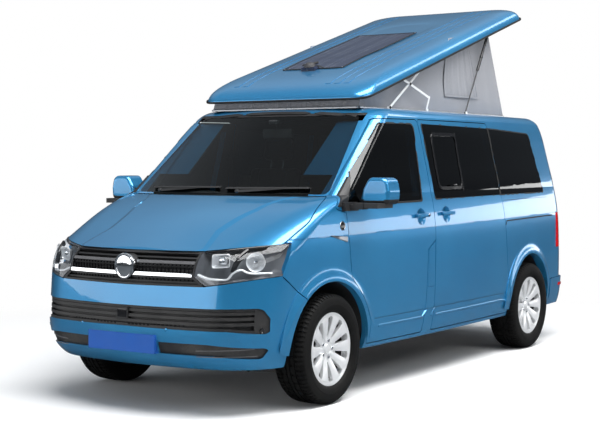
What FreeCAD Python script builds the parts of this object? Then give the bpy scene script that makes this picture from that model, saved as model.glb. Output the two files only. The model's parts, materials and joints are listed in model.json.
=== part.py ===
# Camper van with a rear-lifting pop roof, as a parametric FreeCAD document.
#
# Frame, in millimetres: origin on the ground under the middle of the footprint,
# +Y from the nose (-Y) to the tailgate, +X the vehicle's left side, +Z up.
# The roof is stored raised; its own pieces are drawn level and then tilted.

import FreeCAD, Part
import math
import os
import Sketcher

V = FreeCAD.Vector
DOC = FreeCAD.newDocument("camper_van")
SHEET = DOC.addObject("Spreadsheet::Sheet", "Sizes")

# ---------------------------------------------------------------- driving sizes
# alias, value, what it is
SIZES = (
    ("wheelbase", 3000, "front axle to rear axle"),
    ("front_overhang", 916, "front plate's face to front axle"),
    ("plate_stand_off", 8, "front plate ahead of the bumper"),
    ("rear_overhang", 996, "rear axle to tail"),
    ("half_width", 952, "half the body width at its widest"),
    ("half_track", 814, "centre line to the middle of a tyre"),
    ("roof_top", 1868, "height of the fixed roof's flat"),
    ("tyre_radius", 345, ""),
    ("tyre_width", 235, ""),
    ("rim_radius", 228, "outside of the rim's lip"),
    ("rim_wall", 9, "thickness of the rim's barrel"),
    ("spoke_count", 10, ""),
    ("spoke_width", 54, "at the rim"),
    ("hub_radius", 72, "bolt face of the wheel"),
    ("bumper_stand_off", 46, "rear bumper behind the tailgate's face"),
    ("arch_radius", 415, "wheel opening in the body"),
    ("flare_width", 92, "rolled lip round a wheel opening"),
    ("flare_height", 15, "how far that lip stands out"),
    ("skin_step", 18, "outer skin of a door, before its inner panel steps in"),
    ("wall", 55, "door or body side, skin to trim"),
    ("bonnet_wall", 24, ""),
    ("scuttle", 14, "height of the open scuttle behind the bonnet"),
    ("bonnet_rise", 8, "centre of the bonnet over its sides"),
    ("bonnet_flank", 26, "width of the slope between them"),
    ("panel_gap", 6, "between a door and its opening"),
    ("step_in", 10, "inner panel of a door inside its skin"),
    ("glass", 5, "thickness of all glass"),
    ("seat_gap", 0.4, "bonded pieces lie this far from their seat"),
    ("roof_tilt", 16.8, "degrees, roof raised"),
    ("roof_pivot_ahead", 195, "tilt axis ahead of the roof's front edge"),
    ("roof_pivot_below", 148, "tilt axis below the closed roof's rim"),
    ("roof_rim", 1877, "height of the closed roof's rim"),
    ("roof_half_width", 700, "pop roof, at its rim"),
    ("roof_length", 2679, "pop roof, at its rim"),
    ("roof_depth", 112, "pop roof, rim to crown"),
    ("roof_shell", 9, "moulding thickness of the pop roof"),
    ("aperture_half_width", 560, "hole in the fixed roof"),
    ("canvas_wall", 3, "modelled thickness of the canvas"),
    ("door_open", 68, "degrees, front doors"),
    ("floor_height", 500, "top of the cabin floor"),
    ("seat_height", 880, "top of the front cushions"),
    ("disc_radius", 165, "brake disc"),
    ("arm_width", 16, "roof lifting arm, flat bar"),
    ("arm_thick", 5, ""),
    ("strut_radius", 11, "gas strut cylinder"),
    ("rod_radius", 5, "gas strut rod"),
    ("sheet_metal", 6, "floor, wheel liners and brackets"),
    ("seat_width", 500, ""),
    ("steering_wheel_radius", 192, ""),
    ("tow_bolt_radius", 6.5, "holes through the frame's rails and floor"),
)
for row, (alias, value, note) in enumerate(SIZES, start=1):
    SHEET.set("A%d" % row, alias.replace("_", " "))
    SHEET.set("B%d" % row, str(value))
    SHEET.set("C%d" % row, note)
    SHEET.setAlias("B%d" % row, alias)
DOC.recompute()


def size(alias):
    """A driving size, read from the sheet."""
    return float(SHEET.get(alias))


NOSE = -(size("front_overhang") + size("wheelbase") + size("rear_overhang")) / 2
BODY_NOSE = NOSE + size("plate_stand_off")
FRONT_AXLE = NOSE + size("front_overhang")
REAR_AXLE = FRONT_AXLE + size("wheelbase")
TAIL = REAR_AXLE + size("rear_overhang")
HALF_WIDTH = size("half_width")
WIDE = HALF_WIDTH + 200          # past both sides, for cutting prisms
SIDE_RADIUS = 30000              # the body side's bow in plan
FLOOR = size("floor_height")

NODES = []


def node(name, shape):
    """One sub-part whose form is made with Part's own functions."""
    piece = DOC.addObject("Part::Feature", name)
    piece.Label = name
    piece.Shape = shape
    NODES.append(piece)
    return piece


# ------------------------------------------------------------- outline helpers
def rounded(points):
    """Closed wire through (x, y, z, corner radius), its corners as arcs."""
    edges = []
    corners = []
    count = len(points)
    for index, (x, y, z, radius) in enumerate(points):
        here = V(x, y, z)
        before = V(*points[index - 1][:3])
        after = V(*points[(index + 1) % count][:3])
        if radius <= 0:
            corners.append((here, here, None))
            continue
        back = (before - here).normalize()
        ahead = (after - here).normalize()
        half_turn = back.getAngle(ahead) / 2
        run = radius / math.tan(half_turn)
        middle = (back + ahead).normalize()
        apex = here + middle * (radius / math.sin(half_turn) - radius)
        corners.append((here + back * run, here + ahead * run, apex))
    for index, (start, end, apex) in enumerate(corners):
        if apex is not None:
            edges.append(Part.Arc(start, apex, end).toShape())
        following = corners[(index + 1) % count][0]
        if end.distanceToPoint(following) > 0.01:
            edges.append(Part.LineSegment(end, following).toShape())
    return Part.Wire(edges)


def grown(wire, distance):
    """The same flat outline, larger or smaller all round."""
    if abs(distance) < 1e-6:
        return wire
    return wire.makeOffset2D(distance, 0, False, False, False)


def side_outline(points):
    """Side view: rows of (y, z, corner radius)."""
    return rounded([(0, y, z, r) for y, z, r in points])


def front_outline(points):
    """Front view: rows of (x, z, corner radius)."""
    return rounded([(x, 0, z, r) for x, z, r in points])


def plan_outline(points):
    """Plan view: rows of (x, y, corner radius)."""
    return rounded([(x, y, 0, r) for x, y, r in points])


def prism(wire, start, end):
    """The outline swept along its own normal axis from start to end."""
    box = wire.BoundBox
    if box.XLength < 0.01:
        along = V(1, 0, 0)
    elif box.YLength < 0.01:
        along = V(0, 1, 0)
    else:
        along = V(0, 0, 1)
    face = Part.Face(wire)
    face.translate(along * start)
    return face.extrude(along * (end - start))


def block(x0, x1, y0, y1, z0, z1):
    return Part.makeBox(x1 - x0, y1 - y0, z1 - z0, V(x0, y0, z0))


def rod(start, end, radius):
    """A round bar between two points."""
    start, end = V(*start), V(*end)
    return Part.makeCylinder(radius, (end - start).Length, start, end - start)


def mirrored(shape):
    """The same shape on the vehicle's other side."""
    return shape.mirror(V(0, 0, 0), V(1, 0, 0))


def both(shape):
    """A shape and its mirror image as one shape of two solids."""
    return Part.makeCompound([shape, mirrored(shape)])


def solids_of(shape, smallest=2000.0):
    """The solids of a shape, without slivers."""
    kept = [s for s in shape.Solids if s.Volume > smallest]
    return kept[0] if len(kept) == 1 else Part.makeCompound(kept)


# ------------------------------------------------------------------ body shape
# Plan sections of the body. Columns: height; side in from half_width; nose back
# from the front end; nose bow radius; nose corner radius; tail in from the rear
# end; tail corner radius; how far the nose surface lies back (inset factor).
LOWER = (
    (280, 52, 122, 2600, 400, 74, 240, 1.0),
    (340, 30, 47, 2600, 420, 58, 250, 1.0),
    (436, 12, 0, 2600, 430, 49, 260, 1.0),
    (600, 2, 2, 2600, 430, 46, 270, 1.0),
    (760, 0, 20, 2600, 430, 47, 280, 1.0),
    (880, 0, 44, 2600, 420, 50, 288, 1.1),
    (975, 1, 122, 2600, 400, 55, 290, 1.7),
)
BONNET = (
    (975, 1, 122, 2600, 400, 55, 290, 1.7),
    (1045, 4, 287, 2800, 340, 62, 290, 2.4),
    (1150, 15, 527, 3000, 250, 72, 290, 2.6),
    (1240, 30, 772, 3400, 190, 84, 280, 2.6),
    (1294, 42, 992, 4000, 150, 96, 270, 2.3),
)
CABIN = (
    (1294, 42, 992, 4000, 150, 96, 270, 2.3),
    (1450, 70, 1183, 4200, 150, 140, 250, 1.6),
    (1600, 99, 1359, 4200, 150, 186, 230, 1.6),
    (1720, 122, 1500, 4200, 150, 232, 210, 1.6),
    (1816, 152, 1613, 4200, 150, 280, 200, 1.6),
)
SHOULDER = (
    (1816, 152, 1613, 4200, 150, 280, 200, 1.6),
    (1850, 182, 1662, 4200, 150, 322, 200, 2.0),
    (1868, 217, 1712, 4200, 150, 372, 200, 2.0),
)
BANDS = (LOWER, BONNET, CABIN, SHOULDER)
TAIL_RADIUS = 5000               # the tail's bow in plan


def corner_arc(half_width, end_centre, end_radius, radius):
    """Arc tangent to a side arc and an end arc: its centre and two ends."""
    side_centre = half_width - SIDE_RADIUS
    from_end = end_radius - radius
    from_side = SIDE_RADIUS - radius
    apart = math.hypot(side_centre, end_centre)
    along = (from_end ** 2 - from_side ** 2 + apart ** 2) / (2 * apart)
    off = math.sqrt(from_end ** 2 - along ** 2)
    ux = side_centre / apart
    uy = -end_centre / apart
    choices = (
        (along * ux - off * uy, end_centre + along * uy + off * ux),
        (along * ux + off * uy, end_centre + along * uy - off * ux),
    )
    cx, cy = max(choices)
    at_end = (cx * end_radius / from_end,
              end_centre + (cy - end_centre) * end_radius / from_end)
    at_side = (side_centre + (cx - side_centre) * SIDE_RADIUS / from_side,
               cy * SIDE_RADIUS / from_side)
    return (cx, cy), at_end, at_side


def body_section(level, inset):
    """One closed plan section of the body, inset from the outer surface."""
    height, side_in, nose_back, bow, corner, tail_in, tail_corner, lay = level
    half = HALF_WIDTH - side_in - inset
    nose = BODY_NOSE + nose_back + inset * lay
    tail = TAIL - tail_in - inset
    nose_centre = nose + bow - inset
    tail_centre = tail - TAIL_RADIUS + inset
    nose_corner = max(corner - inset, 40)
    rear_corner = max(tail_corner - inset, 40)
    front = corner_arc(half, nose_centre, bow - inset, nose_corner)
    rear = corner_arc(half, tail_centre, TAIL_RADIUS - inset, rear_corner)

    def bulge(arc, radius, sign):
        (cx, cy), at_end, at_side = arc
        mx = (at_end[0] + at_side[0]) / 2 - cx
        my = (at_end[1] + at_side[1]) / 2 - cy
        far = radius / math.hypot(mx, my)
        return V(sign * (cx + mx * far), cy + my * far, height)

    def at(point, sign):
        return V(sign * point[0], point[1], height)

    nose_tip = V(0, nose, height)
    tail_tip = V(0, tail, height)
    right_mid = V(half, 0, height)
    left_mid = V(-half, 0, height)
    runs = (
        (at(front[1], -1), nose_tip, at(front[1], 1)),
        (at(front[1], 1), bulge(front, nose_corner, 1), at(front[2], 1)),
        (at(front[2], 1), right_mid, at(rear[2], 1)),
        (at(rear[2], 1), bulge(rear, rear_corner, 1), at(rear[1], 1)),
        (at(rear[1], 1), tail_tip, at(rear[1], -1)),
        (at(rear[1], -1), bulge(rear, rear_corner, -1), at(rear[2], -1)),
        (at(rear[2], -1), left_mid, at(front[2], -1)),
        (at(front[2], -1), bulge(front, nose_corner, -1), at(front[1], -1)),
    )
    return Part.Wire([Part.Arc(*run).toShape() for run in runs])


HULLS = {}


def hull(inset, low=-1e4, high=1e4):
    """The body as one solid, inset from its outer surface.

    Only the bands that reach into the heights from low to high are built.
    """
    chosen = [band for band in BANDS if band[0][0] < high and band[-1][0] > low]
    key = (round(inset, 3), chosen[0][0][0], chosen[-1][0][0])
    if key not in HULLS:
        bands = []
        for band in chosen:
            wires = [body_section(level, inset) for level in band]
            bands.append(Part.makeLoft(wires, True, False))
        HULLS[key] = bands[0].multiFuse(bands[1:]) if bands[1:] else bands[0]
    return HULLS[key]


def skin(region, outer, inner):
    """The part of a region between two insets of the body surface."""
    box = region.BoundBox
    low = max(box.ZMin, 0) + 0.1
    high = box.ZMax - 0.1
    return region.common(hull(outer, low, high)).cut(hull(inner, low, high))


# ------------------------------------------------------------------- outlines
# Side view rows are (y, z, corner radius); front view rows are (x, z, radius).
F = FRONT_AXLE
R = REAR_AXLE
GAP = size("panel_gap")
WALL = size("wall")
STEP = size("skin_step")
HUB = size("tyre_radius")        # wheel centre height
SILL_LOW = 300
DOOR_LOW = 330
CANTRAIL = 1797                  # top of the doors
ROOF_SEAM = 1836                 # side panels end, roof panel starts
PILLAR_FOOT = 1297               # wing ends, pillar starts
B_SEAM = F + 1308                # middle of the seam between front and sliding door

FRONT_DOOR = (
    (F + 80, 1215, 12), (F + 195, 1188, 8), (F + 203, 1030, 40),
    (F + 231, 770, 80), (F + 353, 640, 60), (F + 441, 480, 60),
    (F + 442, DOOR_LOW, 12), (F + 1150, DOOR_LOW, 12), (F + 1180, 640, 0),
    (F + 1196, 900, 8), (B_SEAM - GAP / 2, 962, 8), (B_SEAM - GAP / 2, 1225, 0),
    (B_SEAM - 31 - GAP / 2, CANTRAIL, 30), (F + 762, CANTRAIL - 6, 60),
)
SLIDING_DOOR = (
    (B_SEAM + GAP / 2, 1225, 0), (B_SEAM + GAP / 2, 962, 0),
    (F + 1304, 640, 0), (F + 1297, 470, 0), (F + 1292, DOOR_LOW, 12),
    (R - 424, DOOR_LOW, 12), (R - 434, 500, 60), (R - 472, 720, 120),
    (R - 516, 1050, 0), (R - 544, 1250, 0), (R - 591, CANTRAIL, 30),
    (B_SEAM - 31 + GAP / 2, CANTRAIL, 30),
)
DOOR_WINDOW = (
    (F + 205, 1228, 12), (F + 1160, 1236, 18), (F + 1205, 1768, 45),
    (F + 775, 1766, 60), (F + 365, 1440, 10),
)
SLIDING_WINDOW = (
    (F + 1352, 1243, 25), (R - 549, 1250, 6), (R - 593, 1760, 6),
    (F + 1320, 1772, 25),
)
QUARTER_WINDOW = (
    (R - 537, 1250, 6), (R + 386, 1252, 30), (R + 238, 1732, 50), (R - 580, 1760, 6),
)
FUEL_FLAP = (
    (F + 1202, 640, 4), (F + 1298, 640, 4), (F + 1300, 948, 4), (F + 1214, 900, 8),
)
WINDSCREEN = (
    (782, PILLAR_FOOT + 2, 30), (662, 1815, 40), (-662, 1815, 40),
    (-782, PILLAR_FOOT + 2, 30),
)
TAILGATE = (
    (700, 545, 60), (772, 640, 60), (776, 1080, 0), (768, 1250, 0), (672, 1800, 50),
    (-672, 1800, 50), (-768, 1250, 0), (-776, 1080, 0), (-772, 640, 60),
    (-700, 545, 60),
)
REAR_WINDOW = (
    (700, 1215, 40), (610, 1720, 60), (-610, 1720, 60), (-700, 1215, 40),
)
BONNET_EDGE = (                  # front view: the bonnet lies above this line
    (-960, 1030), (-874, 1022), (-488, 980), (0, 976), (488, 980), (874, 1022),
    (960, 1030),
)
BUMPER_TOP = (                   # front view: the bumper lies below this line
    (-960, 850), (-875, 830), (-675, 794), (-560, 777), (0, 773), (560, 777),
    (675, 794), (875, 830), (960, 850),
)
BONNET_PLAN = (                  # plan view rows (x, y, corner radius)
    (851, F - 402, 40), (868, F - 183, 300), (815, F + 60, 120), (786, F + 150, 20),
    (-786, F + 150, 20), (-815, F + 60, 120), (-868, F - 183, 300),
    (-851, F - 402, 40), (-760, NOSE - 50, 0), (760, NOSE - 50, 0),
)
LAMP_BACK = (                    # side view: the headlamp lies ahead of this line
    (F - 490, 826, 0), (F - 375.6, 1026, 0), (F - 375.6, 1200, 0), (NOSE - 50, 1200, 0),
    (NOSE - 50, 700, 0), (F - 500, 700, 0),
)
BUMPER_BACK = (                  # side view: the front bumper lies ahead of this
    (F - 492, 850, 0), (F - 482, 822, 0), (F - 375, 747, 0), (F - 265, 670, 0),
    (F - 265, 270, 0), (NOSE - 50, 270, 0), (NOSE - 50, 850, 0),
)
INTAKE = (
    (835, 652, 30), (858, 590, 30), (856, 498, 18), (690, 521, 0), (0, 528, 0),
    (-690, 521, 0), (-856, 498, 18), (-858, 590, 30), (-835, 652, 30),
)
LOW_SLOT = (
    (262, 446, 6), (590, 444, 0), (850, 414, 14), (812, 350, 24), (600, 372, 0),
    (262, 376, 6),
)
GATE_HINGE = (TAIL - 274, 1803)  # side view: tailgate's axis
HINGE_PIN = 3.5
TAIL_LAMP = (783, R + 610, 783, 1077)    # inner edge, front edge, bottom, top
REAR_BUMPER_FRONT = (            # side view: the rear bumper lies behind this
    (R + 446, 525, 0), (R + 470, 300, 0), (TAIL + 50, 300, 0), (TAIL + 50, 525, 0),
)


def above(line, top):
    """Front-view region over a line, as a prism along Y."""
    points = [V(x, 0, z) for x, z in line]
    points += [V(line[-1][0], 0, top), V(line[0][0], 0, top)]
    wire = Part.makePolygon(points + points[:1])
    return prism(wire, NOSE - 60, F + 200)


def side_prism(points, grow=0.0, inside=480):
    """A side-view outline through the left body side."""
    return prism(grown(side_outline(points), grow), inside, WIDE)


def arch(axle_y, radius):
    """The round wheel opening on the left side."""
    return rod((520, axle_y, HUB + 5), (WIDE, axle_y, HUB + 5), radius)


GROOVE_TOP_FRONT = 1040          # side character line, height over the front axle
GROOVE_TOP_REAR = 1071           # and over the rear axle


def groove(front_z, rear_z, tall, deep):
    """A long shallow groove along the left side: region to cut from a panel."""
    slope = (rear_z - front_z) / (R - F)
    ahead = F - 480
    behind = R + 800
    z0 = front_z + (ahead - F) * slope
    z1 = front_z + (behind - F) * slope
    wire = Part.makePolygon([V(0, ahead, z0), V(0, behind, z1), V(0, behind, z1 + tall),
                             V(0, ahead, z0 + tall), V(0, ahead, z0)])
    return skin(prism(wire, 600, WIDE), 0, deep)


def panel(points, inside=480):
    """A door: its outer skin, and an inner panel that steps in all round."""
    outer = skin(side_prism(points, 0, inside), 0, STEP)
    inner = skin(side_prism(points, -size("step_in"), inside), STEP, WALL)
    return outer.fuse(inner)


def window(points, shape, inside=480):
    """Cut a flush window in a panel and make its glass."""
    recess = skin(side_prism(points, 0, inside), 0, size("glass") + size("seat_gap"))
    shape = shape.cut(recess).cut(side_prism(points, -32, inside))
    pane = skin(side_prism(points, -size("seat_gap"), inside), 0, size("glass"))
    return shape, pane


def body_side_at(y, z):
    """Half width of the body's outer surface at a place on its side."""
    probe = Part.makeLine(V(0, y, z), V(WIDE, y, z))
    return probe.common(hull(0, z - 1, z + 1)).BoundBox.XMax


def flare(axle):
    """Rolled lip round a wheel opening: a ring that swells out and dies into the side."""
    lip = size("arch_radius") - 2
    wide = size("flare_width") + 2
    proud = size("flare_height")
    rise = (wide - 8) / 2
    bend = ((proud / 2) ** 2 + rise ** 2) / proud
    turn = math.asin(rise / bend)
    away = bend * (1 - math.cos(turn / 2))
    along = bend * math.sin(turn / 2)
    crest = lip + 8
    outer = lip + wide
    section = Part.Wire([
        Part.makeLine(V(-14, 0, lip), V(proud - 5, 0, lip)),
        Part.Arc(V(proud - 5, 0, lip), V(proud - 1, 0, lip + 3), V(proud, 0, crest)).toShape(),
        Part.Arc(V(proud, 0, crest), V(proud - away, 0, crest + along),
                 V(proud / 2, 0, crest + rise)).toShape(),
        Part.Arc(V(proud / 2, 0, crest + rise), V(away, 0, outer - along),
                 V(0, 0, outer)).toShape(),
        Part.makeLine(V(0, 0, outer), V(-14, 0, outer)),
        Part.makeLine(V(-14, 0, outer), V(-14, 0, lip)),
    ])
    ring = Part.Face(section).revolve(V(0, 0, 0), V(1, 0, 0), 360)
    ring.rotate(V(0, 0, 0), V(0, 0, 1), math.degrees(math.atan(axle / SIDE_RADIUS)))
    ring.translate(V(body_side_at(axle, HUB + lip + wide), axle, HUB + 5))
    ring = ring.common(block(0, WIDE, axle - 600, axle + 600, SILL_LOW, 1000))
    return ring.common(hull(-proud - 1, 250, 900))


FLARE_FRONT = flare(F)
FLARE_REAR = flare(R)
FLARE_REACH = size("arch_radius") + size("flare_width") + 6
BELT_GROOVE = groove(GROOVE_TOP_FRONT, GROOVE_TOP_REAR, 7, 5)
SILL_GROOVE = groove(484, 490, 7, 4).cut(arch(F, FLARE_REACH)).cut(arch(R, FLARE_REACH))


# ----------------------------------------------------------------- body panels
def make_doors():
    """The two front doors with glass and handles, and the sliding door."""
    door = panel(FRONT_DOOR).fuse(side_prism(FRONT_DOOR).common(FLARE_FRONT))
    door = door.cut(arch(F, size("arch_radius"))).cut(BELT_GROOVE).cut(SILL_GROOVE)
    door = door.cut(block(300, 720, F, F + 420, 1100, 1420))
    door = door.cut(block(300, 824, F, F + 300, 1100, 1266))
    door, pane = window(DOOR_WINDOW, door)
    handle = handle_at(F + 1118, 1137)
    door = door.cut(handle_dish(F + 1118, 1137))
    door = Part.makeCompound([solids_of(door), handle])
    node("door_left", door)
    node("door_left_glass", solids_of(pane))
    node("door_right", mirrored(door))
    node("door_right_glass", mirrored(solids_of(pane)))
    slider = panel(SLIDING_DOOR).fuse(side_prism(SLIDING_DOOR).common(FLARE_REAR))
    slider = slider.cut(arch(R, size("arch_radius"))).cut(BELT_GROOVE).cut(SILL_GROOVE)
    slider, slider_pane = window(SLIDING_WINDOW, slider)
    slider = slider.cut(handle_dish(F + 1486, 1142))
    slider = Part.makeCompound([solids_of(slider), handle_at(F + 1486, 1142)])
    node("sliding_door", slider)
    return solids_of(slider_pane)


def handle_dish(y, z):
    """Round recess behind a door handle."""
    x = body_side_at(y, z)
    return Part.makeSphere(95, V(x + 74, y, z))


def handle_at(y, z):
    """A pull handle: a bar on two feet, over its recess."""
    x = body_side_at(y, z)
    bar = block(x + 12, x + 26, y - 92, y + 92, z - 13, z + 13)
    bar = bar.makeFillet(6, bar.Edges)
    for foot in (y - 78, y + 78):
        bar = bar.fuse(block(x - 12, x + 15, foot - 10, foot + 10, z - 10, z + 10))
    return bar


def make_sides(slider_pane):
    """Pillars, cantrail, sills and rear quarters, and the fixed glass."""
    outline = (
        (F + 436, SILL_LOW, 0), (F + 436, PILLAR_FOOT, 0), (F - 60, PILLAR_FOOT, 0),
        (F - 60, ROOF_SEAM, 0), (TAIL + 50, ROOF_SEAM, 0), (TAIL + 50, 528, 0),
        (R + 440, 528, 0), (R + 440, SILL_LOW, 0),
    )
    region = prism(side_outline(outline), 300, WIDE)
    whole = skin(region, 0, WALL).fuse(region.common(FLARE_REAR))
    screen = prism(grown(front_outline(WINDSCREEN), GAP / 2), NOSE, F + 900)
    gate = prism(grown(front_outline(TAILGATE), GAP), R + 500, TAIL + 50)
    header = block(-700, 700, F - 60, F + 900, 1780, ROOF_SEAM)
    rear_header = block(-700.4, 700.4, R + 499, TAIL + 50, 1800, ROOF_SEAM)
    whole = whole.cut(screen).cut(gate).cut(header).cut(rear_header)
    whole = whole.cut(arch(F, size("arch_radius"))).cut(arch(R, size("arch_radius")))
    x0, y0, z0, z1 = TAIL_LAMP
    whole = whole.cut(block(x0 - 93, WIDE, y0, TAIL + 50, z0, z1))
    quarter, quarter_pane = window(QUARTER_WINDOW, whole)
    quarter = quarter.cut(side_prism(FRONT_DOOR, GAP))
    quarter = quarter.cut(BELT_GROOVE).cut(SILL_GROOVE)
    near = quarter.cut(side_prism(SLIDING_DOOR, GAP))
    flap_hole = skin(side_prism(FUEL_FLAP, 3), 0, STEP)
    near = near.cut(flap_hole)
    flap = skin(side_prism(FUEL_FLAP), 0, STEP - size("seat_gap"))
    far, far_pane = window(SLIDING_WINDOW, quarter)
    node("side_left", solids_of(near, 20000))
    node("side_right", mirrored(solids_of(far, 20000)))
    node("fuel_flap", solids_of(flap))
    panes = [solids_of(slider_pane), solids_of(quarter_pane)]
    panes += [mirrored(solids_of(quarter_pane)), mirrored(solids_of(far_pane))]
    node("side_glass", Part.makeCompound(panes))


def make_wings():
    """Front wings: from the lamps to the doors, round the wheel openings."""
    outline = (
        (F - 486, 832, 0), (F - 375, 1026, 0), (F - 470, 1030, 0),
        (F - 470, PILLAR_FOOT, 0), (F + 436, PILLAR_FOOT, 0), (F + 436, SILL_LOW, 0),
        (F, SILL_LOW, 0), (F - 262, 676, 0), (F - 372, 753, 0), (F - 476, 828, 0),
    )
    region = prism(side_outline(outline), 640, WIDE)
    wing = skin(region, 0, 30).fuse(region.common(FLARE_FRONT))
    lid = prism(grown(plan_outline(BONNET_PLAN), GAP), 900, 1400)
    wing = wing.cut(lid).cut(side_prism(FRONT_DOOR, GAP, 400))
    wing = wing.cut(arch(F, size("arch_radius"))).cut(BELT_GROOVE)
    wing = solids_of(wing, 20000)
    node("wing_left", wing)
    node("wing_right", mirrored(wing))


# Bonnet creases. Columns: place behind the nose, half the raised panel's width.
BONNET_CREASE = ((125, 500), (190, 462), (390, 416), (700, 478), (900, 530), (1080, 575))


def raised_centre():
    """Space over the middle of the bonnet, with sloping flanks along the creases."""
    slope = size("bonnet_rise") / size("bonnet_flank")
    rows = []
    for back, half in BONNET_CREASE:
        y = BODY_NOSE + back
        probe = Part.makeLine(V(half, y, 700), V(half, y, 1500)).common(hull(0, 600, 1500))
        foot = half + size("bonnet_flank")
        z = probe.BoundBox.ZMax
        rows.append(Part.makePolygon([
            V(-foot - 30 / slope, y, z - 30), V(foot + 30 / slope, y, z - 30),
            V(foot - 40 / slope, y, z + 40), V(-foot + 40 / slope, y, z + 40),
            V(-foot - 30 / slope, y, z - 30)]))
    return Part.makeLoft(rows, True, True)


def make_bonnet():
    """The bonnet, with its pressed centre panel raised."""
    lid = prism(plan_outline(BONNET_PLAN), 900, PILLAR_FOOT - size("scuttle"))
    lid = lid.common(above(BONNET_EDGE, 1500))
    sheet = skin(lid, 0, size("bonnet_wall"))
    centre = skin(lid.common(raised_centre()), -size("bonnet_rise"), 4)
    node("bonnet", solids_of(sheet.fuse(centre)))


def below_bumper_line():
    """Front-view region under the bumper's top line."""
    points = [V(x, 0, z) for x, z in BUMPER_TOP]
    points += [V(960, 0, 250), V(-960, 0, 250)]
    return prism(Part.makePolygon(points + points[:1]), NOSE - 60, F + 100)


def make_front():
    """Bumper, grilles, trim, headlamps and the front plate."""
    back = prism(side_outline(BUMPER_BACK), -WIDE, WIDE)
    region = below_bumper_line().common(back)
    bumper = skin(region, 0, 34).multiFuse([region.common(FLARE_FRONT),
                                            region.common(mirrored(FLARE_FRONT))])
    ahead = F - 440
    intake = prism(front_outline(INTAKE), NOSE - 60, ahead)
    slot = prism(front_outline(LOW_SLOT), NOSE - 60, ahead)
    for tool in (intake, slot, mirrored(slot), arch(F, size("arch_radius")),
                 mirrored(arch(F, size("arch_radius")))):
        bumper = bumper.cut(tool)
    node("front_bumper", solids_of(bumper, 20000))

    frame_out = prism(grown(front_outline(INTAKE), -0.4), NOSE - 60, ahead)
    frame_in = prism(grown(front_outline(INTAKE), -16), NOSE - 60, ahead)
    mouth = skin(frame_out.cut(frame_in), 8, 34)
    slat_field = skin(frame_out, 10, 30)
    slats = [slat_field.common(block(-862, 862, NOSE - 60, ahead, z - 9, z + 9))
             for z in (560, 592, 624)]
    pods = [skin(frame_out.common(block(805, 900, NOSE, ahead, 480, 660)), 7, 34)]
    pods.append(mirrored(pods[0]))
    sensor = block(-44, 44, BODY_NOSE + 4, BODY_NOSE + 60, 566, 640)
    backing = skin(frame_out, 34, 44)
    mouth = solids_of(mouth.multiFuse(slats + pods + [sensor, backing]))
    low = skin(prism(grown(front_outline(LOW_SLOT), -0.4), NOSE - 60, ahead), 14, 30)
    low = solids_of(low)
    node("bumper_grille", Part.makeCompound([mouth, low, mirrored(low)]))

    grille_outline = front_outline(((486, 975, 4), (488, 832, 6), (558, 777.4, 4),
                                    (0, 773.4, 0), (-558, 777.4, 4), (-488, 832, 6),
                                    (-486, 975, 4), (0, 972, 0)))
    mouth_out = prism(grille_outline, NOSE - 60, F)
    mouth_in = prism(grown(grille_outline, -12), NOSE - 60, F)
    grille = skin(mouth_out.cut(mouth_in), 4, 40)
    bars = [skin(mouth_out, 34, 44)]
    bar_field = skin(mouth_out, 12, 38)
    for z in (800, 822, 866, 889, 938, 958):
        bars.append(bar_field.common(block(-600, 600, NOSE - 60, F, z - 4, z + 4)))
    badge_y = BODY_NOSE + 44
    badge_room = rod((0, NOSE - 60, 882), (0, badge_y - 2, 882), 78)
    badge_seat = rod((0, badge_y - 2, 882), (0, badge_y + 60, 882), 70)
    grille = grille.multiFuse(bars).cut(badge_room).fuse(badge_seat)
    node("radiator_grille", solids_of(grille))

    strips = []
    seat = size("seat_gap")
    inside = prism(grown(grille_outline, -12 - seat), NOSE - 60, F)
    strip_field = skin(inside, -2, 12 - seat).cut(rod((0, NOSE - 60, 882), (0, F, 882), 80))
    for z, tall in ((842, 20), (913, 15)):
        strips.append(strip_field.common(
            block(-494, 494, NOSE - 60, F, z - tall / 2, z + tall / 2)))
    disc = rod((0, badge_y - 16, 882), (0, badge_y - 2.4, 882), 77)
    node("grille_trim", Part.makeCompound([s for p in strips for s in p.Solids] + [disc]))

    lamp_outline = front_outline(((492, 974, 4), (880, 1018, 4), (960, 1030, 0),
                                  (960, 852, 0), (875, 834, 4), (675, 798, 4),
                                  (564, 783, 4), (492, 834, 6)))
    lamp = prism(lamp_outline, NOSE - 60, F).common(
        prism(side_outline(LAMP_BACK), 300, WIDE))
    lamp = skin(lamp, 0, 90)
    node("headlamps", both(solids_of(lamp)))


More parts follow.
